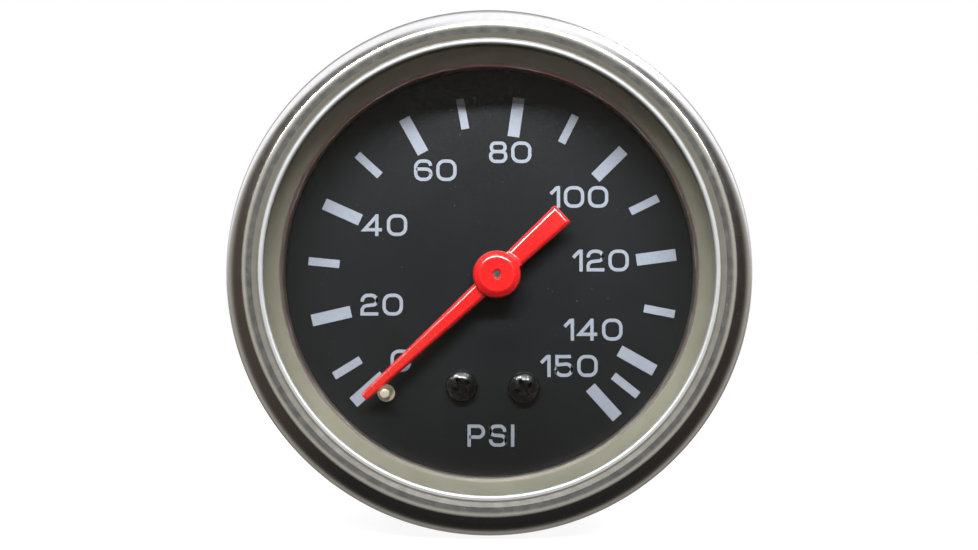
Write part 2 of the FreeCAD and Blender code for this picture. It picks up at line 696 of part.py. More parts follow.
def swept(face, start, end):
    """A section turned about the case axis from one front-view angle down to another."""
    face.rotate(Vector(0, 0, 0), Vector(0, 1, 0), -start)
    return face.revolve(Vector(0, 0, 0), Vector(0, 1, 0), start - end)


def filled_tube(half_thickness=TUBE_HALF_THICKNESS):
    return swept(Part.Face(tube_section(half_thickness)), TUBE_START, TUBE_END)


def bourdon_tube():
    return filled_tube().cut(filled_tube(TUBE_HALF_THICKNESS - TUBE_WALL))


def tube_tip_block():
    inner = TUBE_RADIUS - TUBE_HALF_THICKNESS - TIP_BLOCK_SIDE
    outer = TUBE_RADIUS + TUBE_HALF_THICKNESS + TIP_BLOCK_SIDE
    front, rear = TUBE_Y - TUBE_WIDTH / 2 - TIP_BLOCK_SIDE, TUBE_Y + TUBE_WIDTH / 2 + TIP_BLOCK_SIDE
    section = loop(in_section, (inner, front), (outer, front), (outer, rear), (inner, rear))
    block = swept(Part.Face(section), TIP_BLOCK_START, TIP_BLOCK_END)
    lug_root = polar(inner + LUG_ROOT_INSET, LUG_ROOT_ANGLE)
    lug = strap(TIP_PIVOT, lug_root, LUG_RADIUS, LUG_Y, LUG_THICKNESS)
    pin_hole = rod(TIP_PIVOT, LINK_PIN_RADIUS, LUG_Y, LUG_Y + LUG_THICKNESS)
    return joined(block, lug).cut([filled_tube(), pin_hole])


def link():
    tail_end = polar(TAIL_LENGTH, TAIL_ANGLE, SECTOR)
    bar = strap(TIP_PIVOT, tail_end, LINK_HALF_WIDTH, LINK_Y, LINK_THICKNESS)
    eyes = [rod(place, LINK_EYE_RADIUS, LINK_Y, LINK_Y + LINK_THICKNESS) for place in (TIP_PIVOT, tail_end)]
    holes = [
        rod(TIP_PIVOT, LINK_PIN_RADIUS + RUNNING_GAP, LINK_Y, LINK_Y + LINK_THICKNESS),
        rod(tail_end, LINK_PIN_RADIUS + LINK_OPEN_GAP, LINK_Y, LINK_Y + LINK_THICKNESS),
    ]
    return joined(bar, *eyes).cut(holes)


def shouldered_pin(centre, seat_y, end_y):
    """A headed pin that keeps the link off the face it stands on."""
    head_y = LINK_Y - LINK_FRONT_GAP - LINK_PIN_HEAD_HEIGHT
    head = rod(centre, LINK_PIN_HEAD_RADIUS, head_y, head_y + LINK_PIN_HEAD_HEIGHT)
    shoulder = rod(centre, LINK_PIN_HEAD_RADIUS, LINK_Y + LINK_THICKNESS + LINK_REAR_GAP, seat_y)
    return joined(head, rod(centre, LINK_PIN_RADIUS, head_y, end_y), shoulder)


def link_tip_pin():
    return shouldered_pin(TIP_PIVOT, LUG_Y, LUG_Y + LUG_THICKNESS)


def link_sector_pin():
    return shouldered_pin(polar(TAIL_LENGTH, TAIL_ANGLE, SECTOR), SECTOR_Y, SECTOR_Y + SECTOR_THICKNESS)


def passages():
    """The drillings that lead the pressure from the port to the tube."""
    tube_end = polar(TUBE_RADIUS, TUBE_START + PASSAGE_INSET_ANGLE)
    top = Vector(0, PASSAGE_Y, 0)
    bottom = Vector(tube_end[0], PASSAGE_Y, tube_end[1])
    slant = Part.makeCylinder(PASSAGE_RADIUS, top.distanceToPoint(bottom), top, bottom - top)
    bore = rod((0, 0), PORT_BORE_RADIUS, PORT_BORE_START_Y, PORT_START_Y + PORT_LENGTH)
    return [bore, slant, rod(tube_end, PASSAGE_RADIUS, TUBE_Y, PASSAGE_Y)]


def port_thread_cutter():
    """A V-groove wound along the tapered port from past its small end to past its start."""
    small_y = PORT_START_Y + PORT_LENGTH
    length = PORT_LENGTH + 2 * THREAD_PITCH
    start_radius = PORT_SMALL_RADIUS - THREAD_DEPTH - THREAD_PITCH * PORT_TAPER
    helix = Part.makeLongHelix(THREAD_PITCH, length, start_radius, math.degrees(math.atan(PORT_TAPER)))
    mouth_radius = start_radius + THREAD_HALF_MOUTH / math.tan(math.radians(THREAD_FLANK_ANGLE))
    groove = Part.makePolygon([
        Vector(start_radius, 0, 0), Vector(mouth_radius, 0, THREAD_HALF_MOUTH),
        Vector(mouth_radius, 0, -THREAD_HALF_MOUTH), Vector(start_radius, 0, 0),
    ])
    cutter = Part.Wire(helix.Edges).makePipeShell([groove], True, True)
    cutter.rotate(Vector(0, 0, 0), Vector(1, 0, 0), 90)
    cutter.translate(Vector(0, small_y + THREAD_PITCH, 0))
    return cutter


def port_stem():
    small_y = PORT_START_Y + PORT_LENGTH
    large_radius = PORT_SMALL_RADIUS + PORT_LENGTH * PORT_TAPER
    return lathe(
        (0, PORT_RELIEF_START_Y), (PORT_RELIEF_RADIUS, PORT_RELIEF_START_Y),
        (PORT_RELIEF_RADIUS, PORT_RELIEF_END_Y), (large_radius, PORT_START_Y),
        (PORT_SMALL_RADIUS, small_y - PORT_CHAMFER), (PORT_SMALL_RADIUS - PORT_CHAMFER, small_y),
        (0, small_y),
    )


def socket_block():
    block = Part.makeBox(
        BLOCK_RIGHT - BLOCK_LEFT, WEB_REAR_Y - BLOCK_FRONT_Y, BLOCK_TOP - BLOCK_BOTTOM,
        Vector(BLOCK_LEFT, BLOCK_FRONT_Y, BLOCK_BOTTOM),
    )
    web = Part.makeBox(
        2 * WEB_HALF_WIDTH, WEB_REAR_Y - WEB_FRONT_Y, WEB_TOP - BLOCK_BOTTOM,
        Vector(-WEB_HALF_WIDTH, WEB_FRONT_Y, BLOCK_BOTTOM),
    )
    column = rod((0, 0), COLUMN_RADIUS, COLUMN_START_Y, SOCKET_FLANGE_Y)
    flange = rod((0, 0), SOCKET_FLANGE_RADIUS, SOCKET_FLANGE_Y, SOCKET_FACE_Y)
    corner = HEX_ACROSS_FLATS / math.sqrt(3)
    turned = lathe(
        (0, SOCKET_FACE_Y), (corner, SOCKET_FACE_Y), (corner, HEX_END_Y - HEX_CHAMFER_LENGTH),
        (corner - HEX_CHAMFER, HEX_END_Y), (0, HEX_END_Y),
    )
    hex_nut = hexagon(HEX_ACROSS_FLATS, SOCKET_FACE_Y, HEX_END_Y).common(turned)
    stem = port_stem().cut(port_thread_cutter())
    holes = passages()
    base_bore_end = WEB_FRONT_Y + BASE_BORE_DEPTH
    holes += [rod(place, BASE_SCREW_RADIUS, WEB_FRONT_Y, base_bore_end) for place in BASE_SCREWS]
    holes += [
        rod((side * SOCKET_SCREW_X, 0), SOCKET_SCREW_RADIUS, SOCKET_SCREW_BORE_END_Y, SOCKET_FACE_Y)
        for side in (-1, 1)
    ]
    return joined(block, web, column, flange, hex_nut, stem).cut(holes + [filled_tube()])


def port_restrictor():
    end = RESTRICTOR_Y + RESTRICTOR_LENGTH
    return ring((0, 0), PORT_BORE_RADIUS, RESTRICTOR_HOLE_RADIUS, RESTRICTOR_Y, end)


def stem_gasket():
    end = SOCKET_FACE_Y + STEM_GASKET_THICKNESS
    clear = SOCKET_SCREW_RADIUS + SCREW_CLEARANCE
    disc = ring((0, 0), SOCKET_FLANGE_RADIUS, GASKET_HOLE_RADIUS, SOCKET_FACE_Y, end)
    return disc.cut([rod((side * SOCKET_SCREW_X, 0), clear, SOCKET_FACE_Y, end) for side in (-1, 1)])


def socket_screws():
    return Part.makeCompound([
        pan_screw((side * SOCKET_SCREW_X, 0), SOCKET_SCREW_RADIUS, SOCKET_SCREW_HEAD_RADIUS,
                  SOCKET_SCREW_HEAD_HEIGHT, CASE_DEPTH, SOCKET_SCREW_END_Y, 1)
        for side in (-1, 1)
    ])


def mounting_studs():
    """Two weld studs on the back of the case."""
    end = CASE_DEPTH + MOUNTING_STUD_LENGTH
    studs = []
    for side in (-1, 1):
        centre = (side * STUD_X, 0)
        foot = rod(centre, STUD_FOOT_RADIUS, CASE_DEPTH, CASE_DEPTH + STUD_FOOT_THICKNESS)
        shank = rod(centre, MOUNTING_STUD_RADIUS, CASE_DEPTH, end)
        studs.append(joined(shank.makeChamfer(MOUNTING_STUD_CHAMFER, edges_at(shank, end)), foot))
    return Part.makeCompound(studs)


def vent_plug():
    centre = (0, VENT_Z)
    inside = CASE_DEPTH - CASE_SHEET
    neck = rod(centre, VENT_RADIUS, inside - VENT_LIP_THICKNESS, CASE_DEPTH + VENT_LIP_THICKNESS)
    lips = [
        rod(centre, VENT_LIP_RADIUS, start, start + VENT_LIP_THICKNESS)
        for start in (inside - VENT_LIP_THICKNESS, CASE_DEPTH)
    ]
    return joined(neck, *lips)


PARTS = (
    bezel_ring, lens, lens_gasket, reflector_ring, case_seal, case_shell,
    dial_plate, dial_screws, dial_posts, stop_pin,
    pointer, pointer_bush, pinion_arbor, hairspring_collet, hairspring, hairspring_stud,
    sector_gear, sector_arbor, link, link_tip_pin, link_sector_pin,
    movement_front_plate, movement_back_plate, movement_pillars, movement_plate_screws, movement_base_screws,
    bourdon_tube, tube_tip_block, socket_block, port_restrictor, stem_gasket, socket_screws,
    mounting_studs, vent_plug,
)

os.makedirs("parts", exist_ok=True)
for make in PARTS:
    shape = make()
    shape.exportStep("parts/" + make.__name__ + ".step")
    print(make.__name__, "solids", len(shape.Solids), "valid", shape.isValid(), "mm3", round(shape.Volume, 2))
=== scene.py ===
import json
import math

import bmesh
import bpy
from mathutils import Matrix, Vector


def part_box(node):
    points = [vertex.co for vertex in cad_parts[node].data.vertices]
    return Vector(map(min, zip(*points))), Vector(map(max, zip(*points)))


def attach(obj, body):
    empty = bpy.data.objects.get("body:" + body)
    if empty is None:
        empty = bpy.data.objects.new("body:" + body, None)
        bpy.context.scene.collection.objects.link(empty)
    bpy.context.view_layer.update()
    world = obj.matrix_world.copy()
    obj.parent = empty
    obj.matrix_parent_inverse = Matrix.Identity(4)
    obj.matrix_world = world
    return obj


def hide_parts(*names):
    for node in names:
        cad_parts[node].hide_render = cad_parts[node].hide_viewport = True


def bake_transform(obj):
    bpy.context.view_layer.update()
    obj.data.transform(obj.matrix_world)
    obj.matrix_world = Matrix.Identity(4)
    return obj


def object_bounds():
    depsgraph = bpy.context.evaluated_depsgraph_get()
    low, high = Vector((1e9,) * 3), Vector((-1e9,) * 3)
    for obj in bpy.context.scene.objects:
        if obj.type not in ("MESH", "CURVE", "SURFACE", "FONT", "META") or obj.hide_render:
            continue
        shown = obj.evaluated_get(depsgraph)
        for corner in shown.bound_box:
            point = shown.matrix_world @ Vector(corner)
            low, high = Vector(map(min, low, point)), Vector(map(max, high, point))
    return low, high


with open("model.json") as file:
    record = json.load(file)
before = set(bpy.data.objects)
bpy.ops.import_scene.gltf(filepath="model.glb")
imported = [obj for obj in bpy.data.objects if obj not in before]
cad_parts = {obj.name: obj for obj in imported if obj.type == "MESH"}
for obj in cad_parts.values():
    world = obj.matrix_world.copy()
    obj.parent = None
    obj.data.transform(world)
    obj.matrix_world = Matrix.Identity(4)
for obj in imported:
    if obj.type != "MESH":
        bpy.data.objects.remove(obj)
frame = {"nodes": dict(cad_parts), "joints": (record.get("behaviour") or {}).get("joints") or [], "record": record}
CAD_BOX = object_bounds()

# A panel pressure gauge. The case axis is Y, the dial faces -Y and +Z is up. Shapes are worked out in
# millimetres and turned to metres when a mesh is made. Front-view angles run counter-clockwise from +X.
MM = 0.001
JOINTS = {joint["name"]: joint for joint in frame["joints"]}
HOME = "gauge_frame"


def node_box(node):
    """The lowest and highest corners of a CAD node, in millimetres."""
    return [[float(value) / MM for value in corner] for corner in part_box(node)]


def node_centre(node):
    low, high = node_box(node)
    return ((low[0] + high[0]) / 2, (low[2] + high[2]) / 2)


def pivot(joint):
    """A joint's place in the front view, in millimetres."""
    x, _, z = JOINTS[joint]["pos_m"]
    return (x / MM, z / MM)


SHAFT = pivot("pointer_turn")
DIAL_FRONT = node_box("dial_plate")[0][1]
GLASS_FRONT = node_box("lens")[0][1]
BEZEL_RADIUS = node_box("bezel_ring")[1][0]

# Bezel, as (radius, y). The rolled bead is stretched along Y.
SEAT_INNER_RADIUS = 26.5
SEAT_ROUND = 1.0
BEAD_RADIUS = 4.5
BEAD_Y = -2.5
BEAD_STRETCH = 1.27
BEAD_END_ANGLE = -65.4
BEZEL_SHEET = 0.55
CREST = (27.016, -7.699)
LAND_OUTER = (26.3, -7.635)
LAND_INNER = (25.76, -7.51)
LIP_CENTRE = (25.33, -7.285)
LIP_ROUND = 0.25
LIP_OUTER = (25.343, -7.535)
LIP_UNDERCUT_RADIUS = 25.4
GLASS_SEAT_RADIUS = 26.0

# Where the plating is worn dull (lip and crest), and where a dark reflection is painted on the outer rim, as the
# radii and depths that the change runs between
LIP_WEAR_END = (25.5, 25.6)
CREST_WEAR_START = (26.8, 27.1)
CREST_WEAR_END = (27.25, 27.4)
# Painted dark reflection on the outer rim of the bead: the radii and depths that it fades between
RIM_PAINTED_REFLECTION_START = (29.3, 29.55)
RIM_PAINTED_REFLECTION_END_Y = (-2.9, -2.6)

# Reflector, as radii and y
REFLECTOR_FOOT_RADIUS = 25.5
REFLECTOR_EDGE_RADIUS = 23.55
REFLECTOR_EDGE_Y = -2.95
REFLECTOR_SHEET = 0.6
# Painted highlight: the radii over which the reflector's inner edge turns pale and mirror-like
REFLECTOR_PAINTED_HIGHLIGHT_END = (23.85, 24.1)

# Printed scale
SCALE_CENTRE = (0.39, -0.94)
SCALE_TOP_PSI = 150
ZERO_MARK = 221.6
MARK_75 = 91.0
DEGREES_PER_PSI = 1.8533
TICK_OUTER = 21.42
MAJOR_TICK = (4.62, 1.37)
MINOR_TICK = (3.6, 0.93)
INK_THICKNESS = 0.015
CAP_HEIGHT = 2.15
STROKE = 0.39
STROKE_STEP = 0.2
LABEL_ROUND_STEPS = 8

# Pointer: distances along it from the shaft, half widths and corner radii
POINTER_REST = 222.8
TIP, TIP_HALF_WIDTH, TIP_CORNER = 20.6, 0.52, 0.22
TAIL, TAIL_HALF_WIDTH, TAIL_CORNER = -10.35, 1.37, 0.28
WAIST_HALF_WIDTH = 1.08
TIP_ROLL = 0.6
BLADE_TOP = -3.3
BLADE_THICKNESS = 0.5
BLADE_EDGE = (
    (0.03, 10), (0.04, 20), (0.04, 23), (0.04, 26), (0.04, 29), (0.06, 33), (0.08, 39), (0.08, 49),
    (0.06, 61), (0.02, 74),
)
PAD_TIP_END = 2.0
PAD_TAIL_END = 3.05
PAD_HALF_WIDTH = 1.12
PAD_RISE = 0.1
PAD_EDGE = ((0.02, 12), (0.04, 22), (0.04, 26), (0.04, 30), (0.03, 60))
HUB_RADIUS = 2.75
HUB_TOP_RADIUS = 1.98
HUB_SHOULDER_RADIUS = 2.62
EYE_RADIUS = 0.42
EYE_DEPTH = 0.5
BUSH_RADIUS = 1.1

# Dial screws and stop pin
DIAL_SCREW_HEAD = 1.85
DIAL_SCREW_SHANK = 1.0
DIAL_SCREW_TURNS = (32, 26)
POST_RADIUS = 0.53
COLLAR_INNER_RADIUS = 0.68
COLLAR_RADIUS = 1.0
COLLAR_HEIGHT = 0.45
POST_SHANK_RADIUS = 0.65

# Back
STUD_RADIUS = 2.0
STUD_THREAD_DEPTH = 0.42
STUD_THREAD_PITCH = 0.7
STUD_NECK_RADIUS = 1.85
STUD_FOOT_HEIGHT = 0.7
SOCKET_SCREW_SHANK = 1.5
SOCKET_SCREW_TURN = 20
TUBE_HALF_THICKNESS = 1.2
TUBE_ANGLES = (262.0, -15.0)


# ---------------------------------------------------------------- outlines

def polar(radius, degrees, centre=(0, 0)):
    turn = math.radians(degrees)
    return (centre[0] + radius * math.cos(turn), centre[1] + radius * math.sin(turn))


def arc(centre, radius, start, end, steps):
    """Points of an arc, both ends included."""
    return [polar(radius, start + (end - start) * i / steps, centre) for i in range(steps + 1)]


def turned(centre, degrees, along, across):
    """A point from its place along and across a line that runs through the centre at an angle."""
    turn = math.radians(degrees)
    return (
        centre[0] + along * math.cos(turn) - across * math.sin(turn),
        centre[1] + along * math.sin(turn) + across * math.cos(turn),
    )


def rounded(corners, closed=True, *, steps):
    """An outline whose (a, b, radius) corners are turned to arcs. A corner without a radius stays sharp."""
    points = []
    last = len(corners) - 1
    for i, corner in enumerate(corners):
        here = Vector(corner[:2])
        radius = corner[2] if len(corner) > 2 else 0
        if radius == 0 or (not closed and i in (0, last)):
            points.append(tuple(here))
            continue
        before = (Vector(corners[i - 1][:2]) - here).normalized()
        after = (Vector(corners[(i + 1) % len(corners)][:2]) - here).normalized()
        half = before.angle(after) / 2
        centre = here + (before + after).normalized() * radius / math.sin(half)
        start = here + before * radius / math.tan(half) - centre
        sweep = -start.angle_signed(here + after * radius / math.tan(half) - centre)
        for k in range(steps + 1):
            points.append(tuple(centre + Matrix.Rotation(sweep * k / steps, 2) @ start))
    return points


# ---------------------------------------------------------------- mesh makers

SHARP_DEGREES = 50


def finish_mesh(name, bm, material, body, sharp_degrees=40):
    """Turns a bmesh into a smooth-shaded piece that rides on a CAD body."""
    bmesh.ops.recalc_face_normals(bm, faces=bm.faces)
    mesh = bpy.data.meshes.new(name)
    bm.to_mesh(mesh)
    bm.free()
    mesh.shade_smooth()
    mesh.set_sharp_from_angle(angle=math.radians(sharp_degrees))
    mesh.materials.append(material)
    piece = bpy.data.objects.new(name, mesh)
    bpy.context.scene.collection.objects.link(piece)
    if body:
        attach(piece, body)
    return piece


ON_AXIS = 1e-6


def add_lathe(bm, outline, centre, segments, start=0, sweep=360):
    """Adds a (radius, y) outline turned about an axis along Y. The outline is closed."""
    full = sweep == 360
    rows = []
    for radius, y in outline:
        if radius < ON_AXIS and full:
            rows.append([bm.verts.new((centre[0] * MM, y * MM, centre[1] * MM))])
            continue
        row = []
        for i in range(segments if full else segments + 1):
            x, z = polar(radius, start + sweep * i / segments, centre)
            row.append(bm.verts.new((x * MM, y * MM, z * MM)))
        rows.append(row)
    for row, following in zip(rows, rows[1:] + rows[:1]):
        for i in range(segments):
            j = (i + 1) % segments if full else i + 1
            around = [row[i % len(row)], row[j % len(row)]]
            around += [following[j % len(following)], following[i % len(following)]]
            corners = list(dict.fromkeys(around))
            if len(corners) > 2:
                bm.faces.new(corners)
    if not full:
        bm.faces.new([row[0] for row in rows])
        bm.faces.new([row[-1] for row in rows])


MITRE_LIMIT = 0.35


def add_ribbon(bm, path, half_width, closed, y_front, y_rear):
    """Adds a flat stroke of constant width along a path, with mitred corners and square ends."""
    count = len(path)
    sides = []
    for i in range(count):
        here = Vector(path[i])
        ahead = Vector(path[(i + 1) % count]) - here if closed or i < count - 1 else None
        behind = here - Vector(path[i - 1]) if closed or i > 0 else None
        ahead = (ahead or behind).normalized()
        behind = (behind or ahead).normalized()
        middle = (ahead + behind).normalized()
        across = Vector((-middle.y, middle.x)) * half_width / max(middle.dot(ahead), MITRE_LIMIT)
        sides.append((here + across, here - across))
    rows = []
    for left, right in sides:
        rows.append([
            bm.verts.new((point.x * MM, y * MM, point.y * MM))
            for y in (y_front, y_rear) for point in (left, right)
        ])
    for i in range(count if closed else count - 1):
        a, b = rows[i], rows[(i + 1) % count]
        for p, q in ((0, 1), (1, 3), (3, 2), (2, 0)):
            bm.faces.new((a[p], a[q], b[q], b[p]))
    if not closed:
        for row in (rows[0], rows[-1]):
            bm.faces.new((row[0], row[1], row[3], row[2]))


def add_skin(bm, rows):
    """Joins rings of vertices, and closes the first and the last."""
    bm.faces.new(rows[0])
    bm.faces.new(rows[-1][::-1])
    for row, following in zip(rows, rows[1:]):
        for i in range(len(row)):
            j = (i + 1) % len(row)
            bm.faces.new((row[i], following[i], following[j], row[j]))


def lathe(name, outline, material, body, centre=(0, 0), segments=96, sharp_degrees=40):
    """A turned piece."""
    bm = bmesh.new()
    add_lathe(bm, outline, centre, segments)
    return finish_mesh(name, bm, material, body, sharp_degrees)


def settle(piece):
    """Applies a piece's modifiers to its mesh."""
    graph = bpy.context.evaluated_depsgraph_get()
    mesh = bpy.data.meshes.new_from_object(piece.evaluated_get(graph), depsgraph=graph)
    piece.modifiers.clear()
    piece.data = mesh


def carve(piece, cutter):
    """Takes the cutter's volume out of a piece."""
    cut = piece.modifiers.new("carve", "BOOLEAN")
    cut.operation = "DIFFERENCE"
    cut.solver = "EXACT"
    cut.object = cutter
    settle(piece)
    bpy.data.objects.remove(cutter)


def soften(piece, width):
    """Rounds a piece's sharp edges."""
    bevel = piece.modifiers.new("soften", "BEVEL")
    bevel.width = width * MM
    bevel.segments = 3
    bevel.limit_method = "ANGLE"
    bevel.angle_limit = math.radians(SHARP_DEGREES)
    settle(piece)
    piece.data.shade_smooth()
    piece.data.set_sharp_from_angle(angle=math.radians(SHARP_DEGREES))


# ---------------------------------------------------------------- materials

class Tree:
    """Short calls for building a node tree."""

    def __init__(self, tree):
        self.tree = tree

    def add(self, kind, **settings):
        made = self.tree.nodes.new(kind)
        for key, value in settings.items():
            setattr(made, key, value)
        return made

    def link(self, source, target):
        self.tree.links.new(source, target)

    def feed(self, node, values):
        """Sets sockets by name or number. A value may be another node's output."""
        for key, value in values.items():
            if isinstance(value, bpy.types.NodeSocket):
                self.link(value, node.inputs[key])
            else:
                node.inputs[key].default_value = value
        return node

    def spread(self, value, low, high, start=0.3, end=0.7, smooth=False):
        """Maps a value onto a range."""
        made = self.add("ShaderNodeMapRange")
        if smooth:
            made.interpolation_type = "SMOOTHSTEP"
        self.feed(made, {"Value": value, "From Min": start, "From Max": end, "To Min": low, "To Max": high})
        return made.outputs["Result"]

    def blend(self, share, first, second):
        """A colour between two colours."""
        made = self.add("ShaderNodeMix", data_type="RGBA")
        self.feed(made, {0: share, 6: first, 7: second})
        return made.outputs[2]


class Nodes(Tree):
    """One material's node tree."""

    def __init__(self, name):
        self.material = bpy.data.materials.new(name)
        self.material.use_nodes = True
        super().__init__(self.material.node_tree)
        self.shader = self.tree.nodes["Principled BSDF"]
        self.output = self.tree.nodes["Material Output"]

    def place(self):
        """The point on the object, in millimetres."""
        coordinates = self.add("ShaderNodeTexCoord")
        scale = self.add("ShaderNodeVectorMath", operation="SCALE")
        self.feed(scale, {0: coordinates.outputs["Object"], "Scale": 1 / MM})
        return scale.outputs[0]

    def maths(self, operation, first, second=0.0):
        made = self.add("ShaderNodeMath", operation=operation)
        self.feed(made, {0: first, 1: second})
        return made.outputs[0]

    def noise(self, vector, scale, detail, roughness=0.6):
        made = self.add("ShaderNodeTexNoise")
        self.feed(made, {"Vector": vector, "Scale": scale, "Detail": detail, "Roughness": roughness})
        return made.outputs["Fac"]

    def rings(self, centre=(0, 0), stretch=0.15):
        """The point as its distance from an axis along Y, for turned and spun marks."""
        parts = self.add("ShaderNodeSeparateXYZ")
        self.feed(parts, {0: self.place()})
        x = self.maths("SUBTRACT", parts.outputs[0], centre[0])
        z = self.maths("SUBTRACT", parts.outputs[2], centre[1])
        squares = self.maths("ADD", self.maths("MULTIPLY", x, x), self.maths("MULTIPLY", z, z))
        joined = self.add("ShaderNodeCombineXYZ")
        turn = self.maths("MULTIPLY", self.maths("ARCTAN2", z, x), stretch)
        self.feed(joined, {0: self.maths("SQRT", squares), 1: parts.outputs[1], 2: turn})
        return joined.outputs[0]

    def bump(self, height, distance, normal=None):
        """A normal from a height, with its depth in millimetres."""
        made = self.add("ShaderNodeBump")
        values = {"Height": height, "Distance": distance * MM}
        if normal is not None:
            values["Normal"] = normal
        self.feed(made, values)
        return made.outputs[0]


def colour(red, green, blue):
    return (red, green, blue, 1.0)


COAT_ROUGHNESS = 0.08


def plain_finish(name, tone, second, metallic, roughness, grain, bump, coat=0.0, marks=0.0, centre=(0, 0)):
    """A solid with a mottled colour, a worn roughness, a fine grain and optional turned marks."""
    n = Nodes(name)
    place = n.place()
    cloud = n.noise(place, 0.35, 5)
    fine = n.noise(place, grain, 3)
    height = fine
    if marks:
        rings = n.noise(n.rings(centre), 9.0, 3)
        height = n.maths("ADD", n.maths("MULTIPLY", rings, marks), fine)
    values = {
        "Base Color": n.blend(n.spread(cloud, 0, 1), tone, second),
        "Metallic": metallic,
        "Roughness": n.spread(n.noise(place, 1.7, 6), roughness[0], roughness[1]),
        "Normal": n.bump(height, bump),
    }
    if coat:
        values["Coat Weight"] = coat
        values["Coat Roughness"] = COAT_ROUGHNESS
    n.feed(n.shader, values)
    return n.material


def chrome_finish():
    """Bright plating with hairlines round the ring and a few specks, worn dull on the crest and the lip, with a
    painted dark reflection band on the outer rim.
    """
    n = Nodes("bezel_chrome")
    place = n.place()
    around = n.rings(stretch=1.5)
    ring = n.feed(n.add("ShaderNodeSeparateXYZ"), {0: around}).outputs
    radius, depth = ring[0], ring[1]
    hairlines = n.noise(around, 14.0, 4)
    haze = n.noise(place, 0.9, 6)
    specks = n.spread(n.noise(place, 7.0, 2), 0, 1, 0.735, 0.765)
    lip = n.spread(radius, 1, 0, *LIP_WEAR_END)
    crest = n.maths(
        "MULTIPLY", n.spread(radius, 0, 1, *CREST_WEAR_START), n.spread(radius, 1, 0, *CREST_WEAR_END))
    # edge masks a painted dark reflection on the outer rim of the bead; tint lays that painted dark band over the
    # bright plating
    edge = n.maths("MULTIPLY", n.spread(radius, 0, 1, *RIM_PAINTED_REFLECTION_START), n.spread(depth, 1, 0, *RIM_PAINTED_REFLECTION_END_Y))
    bright = n.blend(n.spread(haze, 0, 1), colour(0.86, 0.855, 0.84), colour(0.80, 0.795, 0.775))
    tint = n.blend(edge, bright, colour(0.34, 0.33, 0.32))
    worn = n.blend(lip, n.blend(crest, tint, colour(0.66, 0.62, 0.53)), colour(0.5, 0.5, 0.495))
    polish = n.maths("SUBTRACT", n.maths("SUBTRACT", 1.0, n.maths("MULTIPLY", crest, 0.2)),
                     n.maths("MULTIPLY", lip, 0.5))
    rough = n.maths("ADD", n.spread(haze, 0.2, 0.26), n.maths("MULTIPLY", specks, 0.25))
    n.feed(n.shader, {
        "Base Color": n.blend(specks, worn, colour(0.62, 0.6, 0.58)),
        "Metallic": polish,
        "Roughness": n.maths("ADD", rough, n.maths("MULTIPLY", lip, 0.18)),
        "Normal": n.bump(hairlines, 0.0012),
    })
    return n.material


def satin_finish():
    """Nickel sheet with a spun satin grain, and a painted highlight: a pale, more mirror-like band along the inner
    edge.
    """
    n = Nodes("satin_nickel")
    place = n.place()
    around = n.rings(stretch=0.6)
    spun = n.noise(around, 10.0, 5)
    radius = n.feed(n.add("ShaderNodeSeparateXYZ"), {0: around}).outputs[0]
    # Painted highlight: a pale, fully metallic band along the inner edge stands in for the edge's bright line
    painted_edge_highlight = n.spread(radius, 1, 0, *REFLECTOR_PAINTED_HIGHLIGHT_END)
    cloud = n.noise(place, 0.3, 4)
    tint = n.blend(n.spread(cloud, 0, 1), colour(0.60, 0.565, 0.45), colour(0.53, 0.50, 0.385))
    ground = n.blend(n.spread(spun, 0, 0.35), tint, colour(0.44, 0.41, 0.315))
    n.feed(n.shader, {
        "Base Color": n.blend(painted_edge_highlight, ground, colour(0.97, 0.88, 0.76)),
        "Metallic": n.spread(painted_edge_highlight, 0.45, 1.0, 0, 1),
        "Roughness": n.spread(spun, 0.30, 0.40),
        "Normal": n.bump(spun, 0.004),
    })
    return n.material


def dial_finish():
    """Black lacquer over a finely turned plate, with pale dust specks."""
    n = Nodes("dial_black")
    place = n.place()
    turned = n.noise(n.rings(SHAFT, 0.05), 5.5, 3)
    grain = n.noise(place, 16.0, 3)
    cloud = n.noise(place, 0.12, 3)
    tone = n.blend(n.spread(cloud, 0, 1), colour(0.006, 0.0068, 0.0082), colour(0.009, 0.0098, 0.0118))
    dust = n.spread(n.noise(place, 3.6, 1, 0.4), 0, 1, 0.745, 0.775)
    n.feed(n.shader, {
        "Base Color": n.blend(dust, tone, colour(0.1, 0.1, 0.1)),
        "Metallic": 0.0,
        "Roughness": n.spread(grain, 0.29, 0.37),
        "Specular IOR Level": 0.55,
        "Normal": n.bump(grain, 0.002, n.bump(turned, 0.004)),
    })
    return n.material


def ink_finish():
    """Pale screen-printed ink, a little uneven in density."""
    n = Nodes("dial_ink")
    place = n.place()
    density = n.noise(place, 3.0, 5)
    n.feed(n.shader, {
        "Base Color": n.blend(n.spread(density, 0, 1), colour(0.36, 0.385, 0.45), colour(0.31, 0.335, 0.40)),
        "Roughness": n.spread(n.noise(place, 20.0, 2), 0.5, 0.65),
        "Normal": n.bump(n.noise(place, 22.0, 2), 0.003),
    })
    return n.material


def pointer_finish():
    """Gloss red lacquer with a slight orange peel."""
    n = Nodes("pointer_red")
    place = n.place()
    cloud = n.noise(place, 0.8, 4)
    n.feed(n.shader, {
        "Base Color": n.blend(n.spread(cloud, 0, 1), colour(0.95, 0.018, 0.016), colour(0.86, 0.014, 0.014)),
        "Roughness": n.spread(n.noise(place, 3.0, 4), 0.2, 0.3),
        "Coat Weight": 1.0,
        "Coat Roughness": 0.12,
        "Coat IOR": 1.75,
        "Normal": n.bump(n.noise(place, 4.0, 3), 0.002),
    })
    return n.material


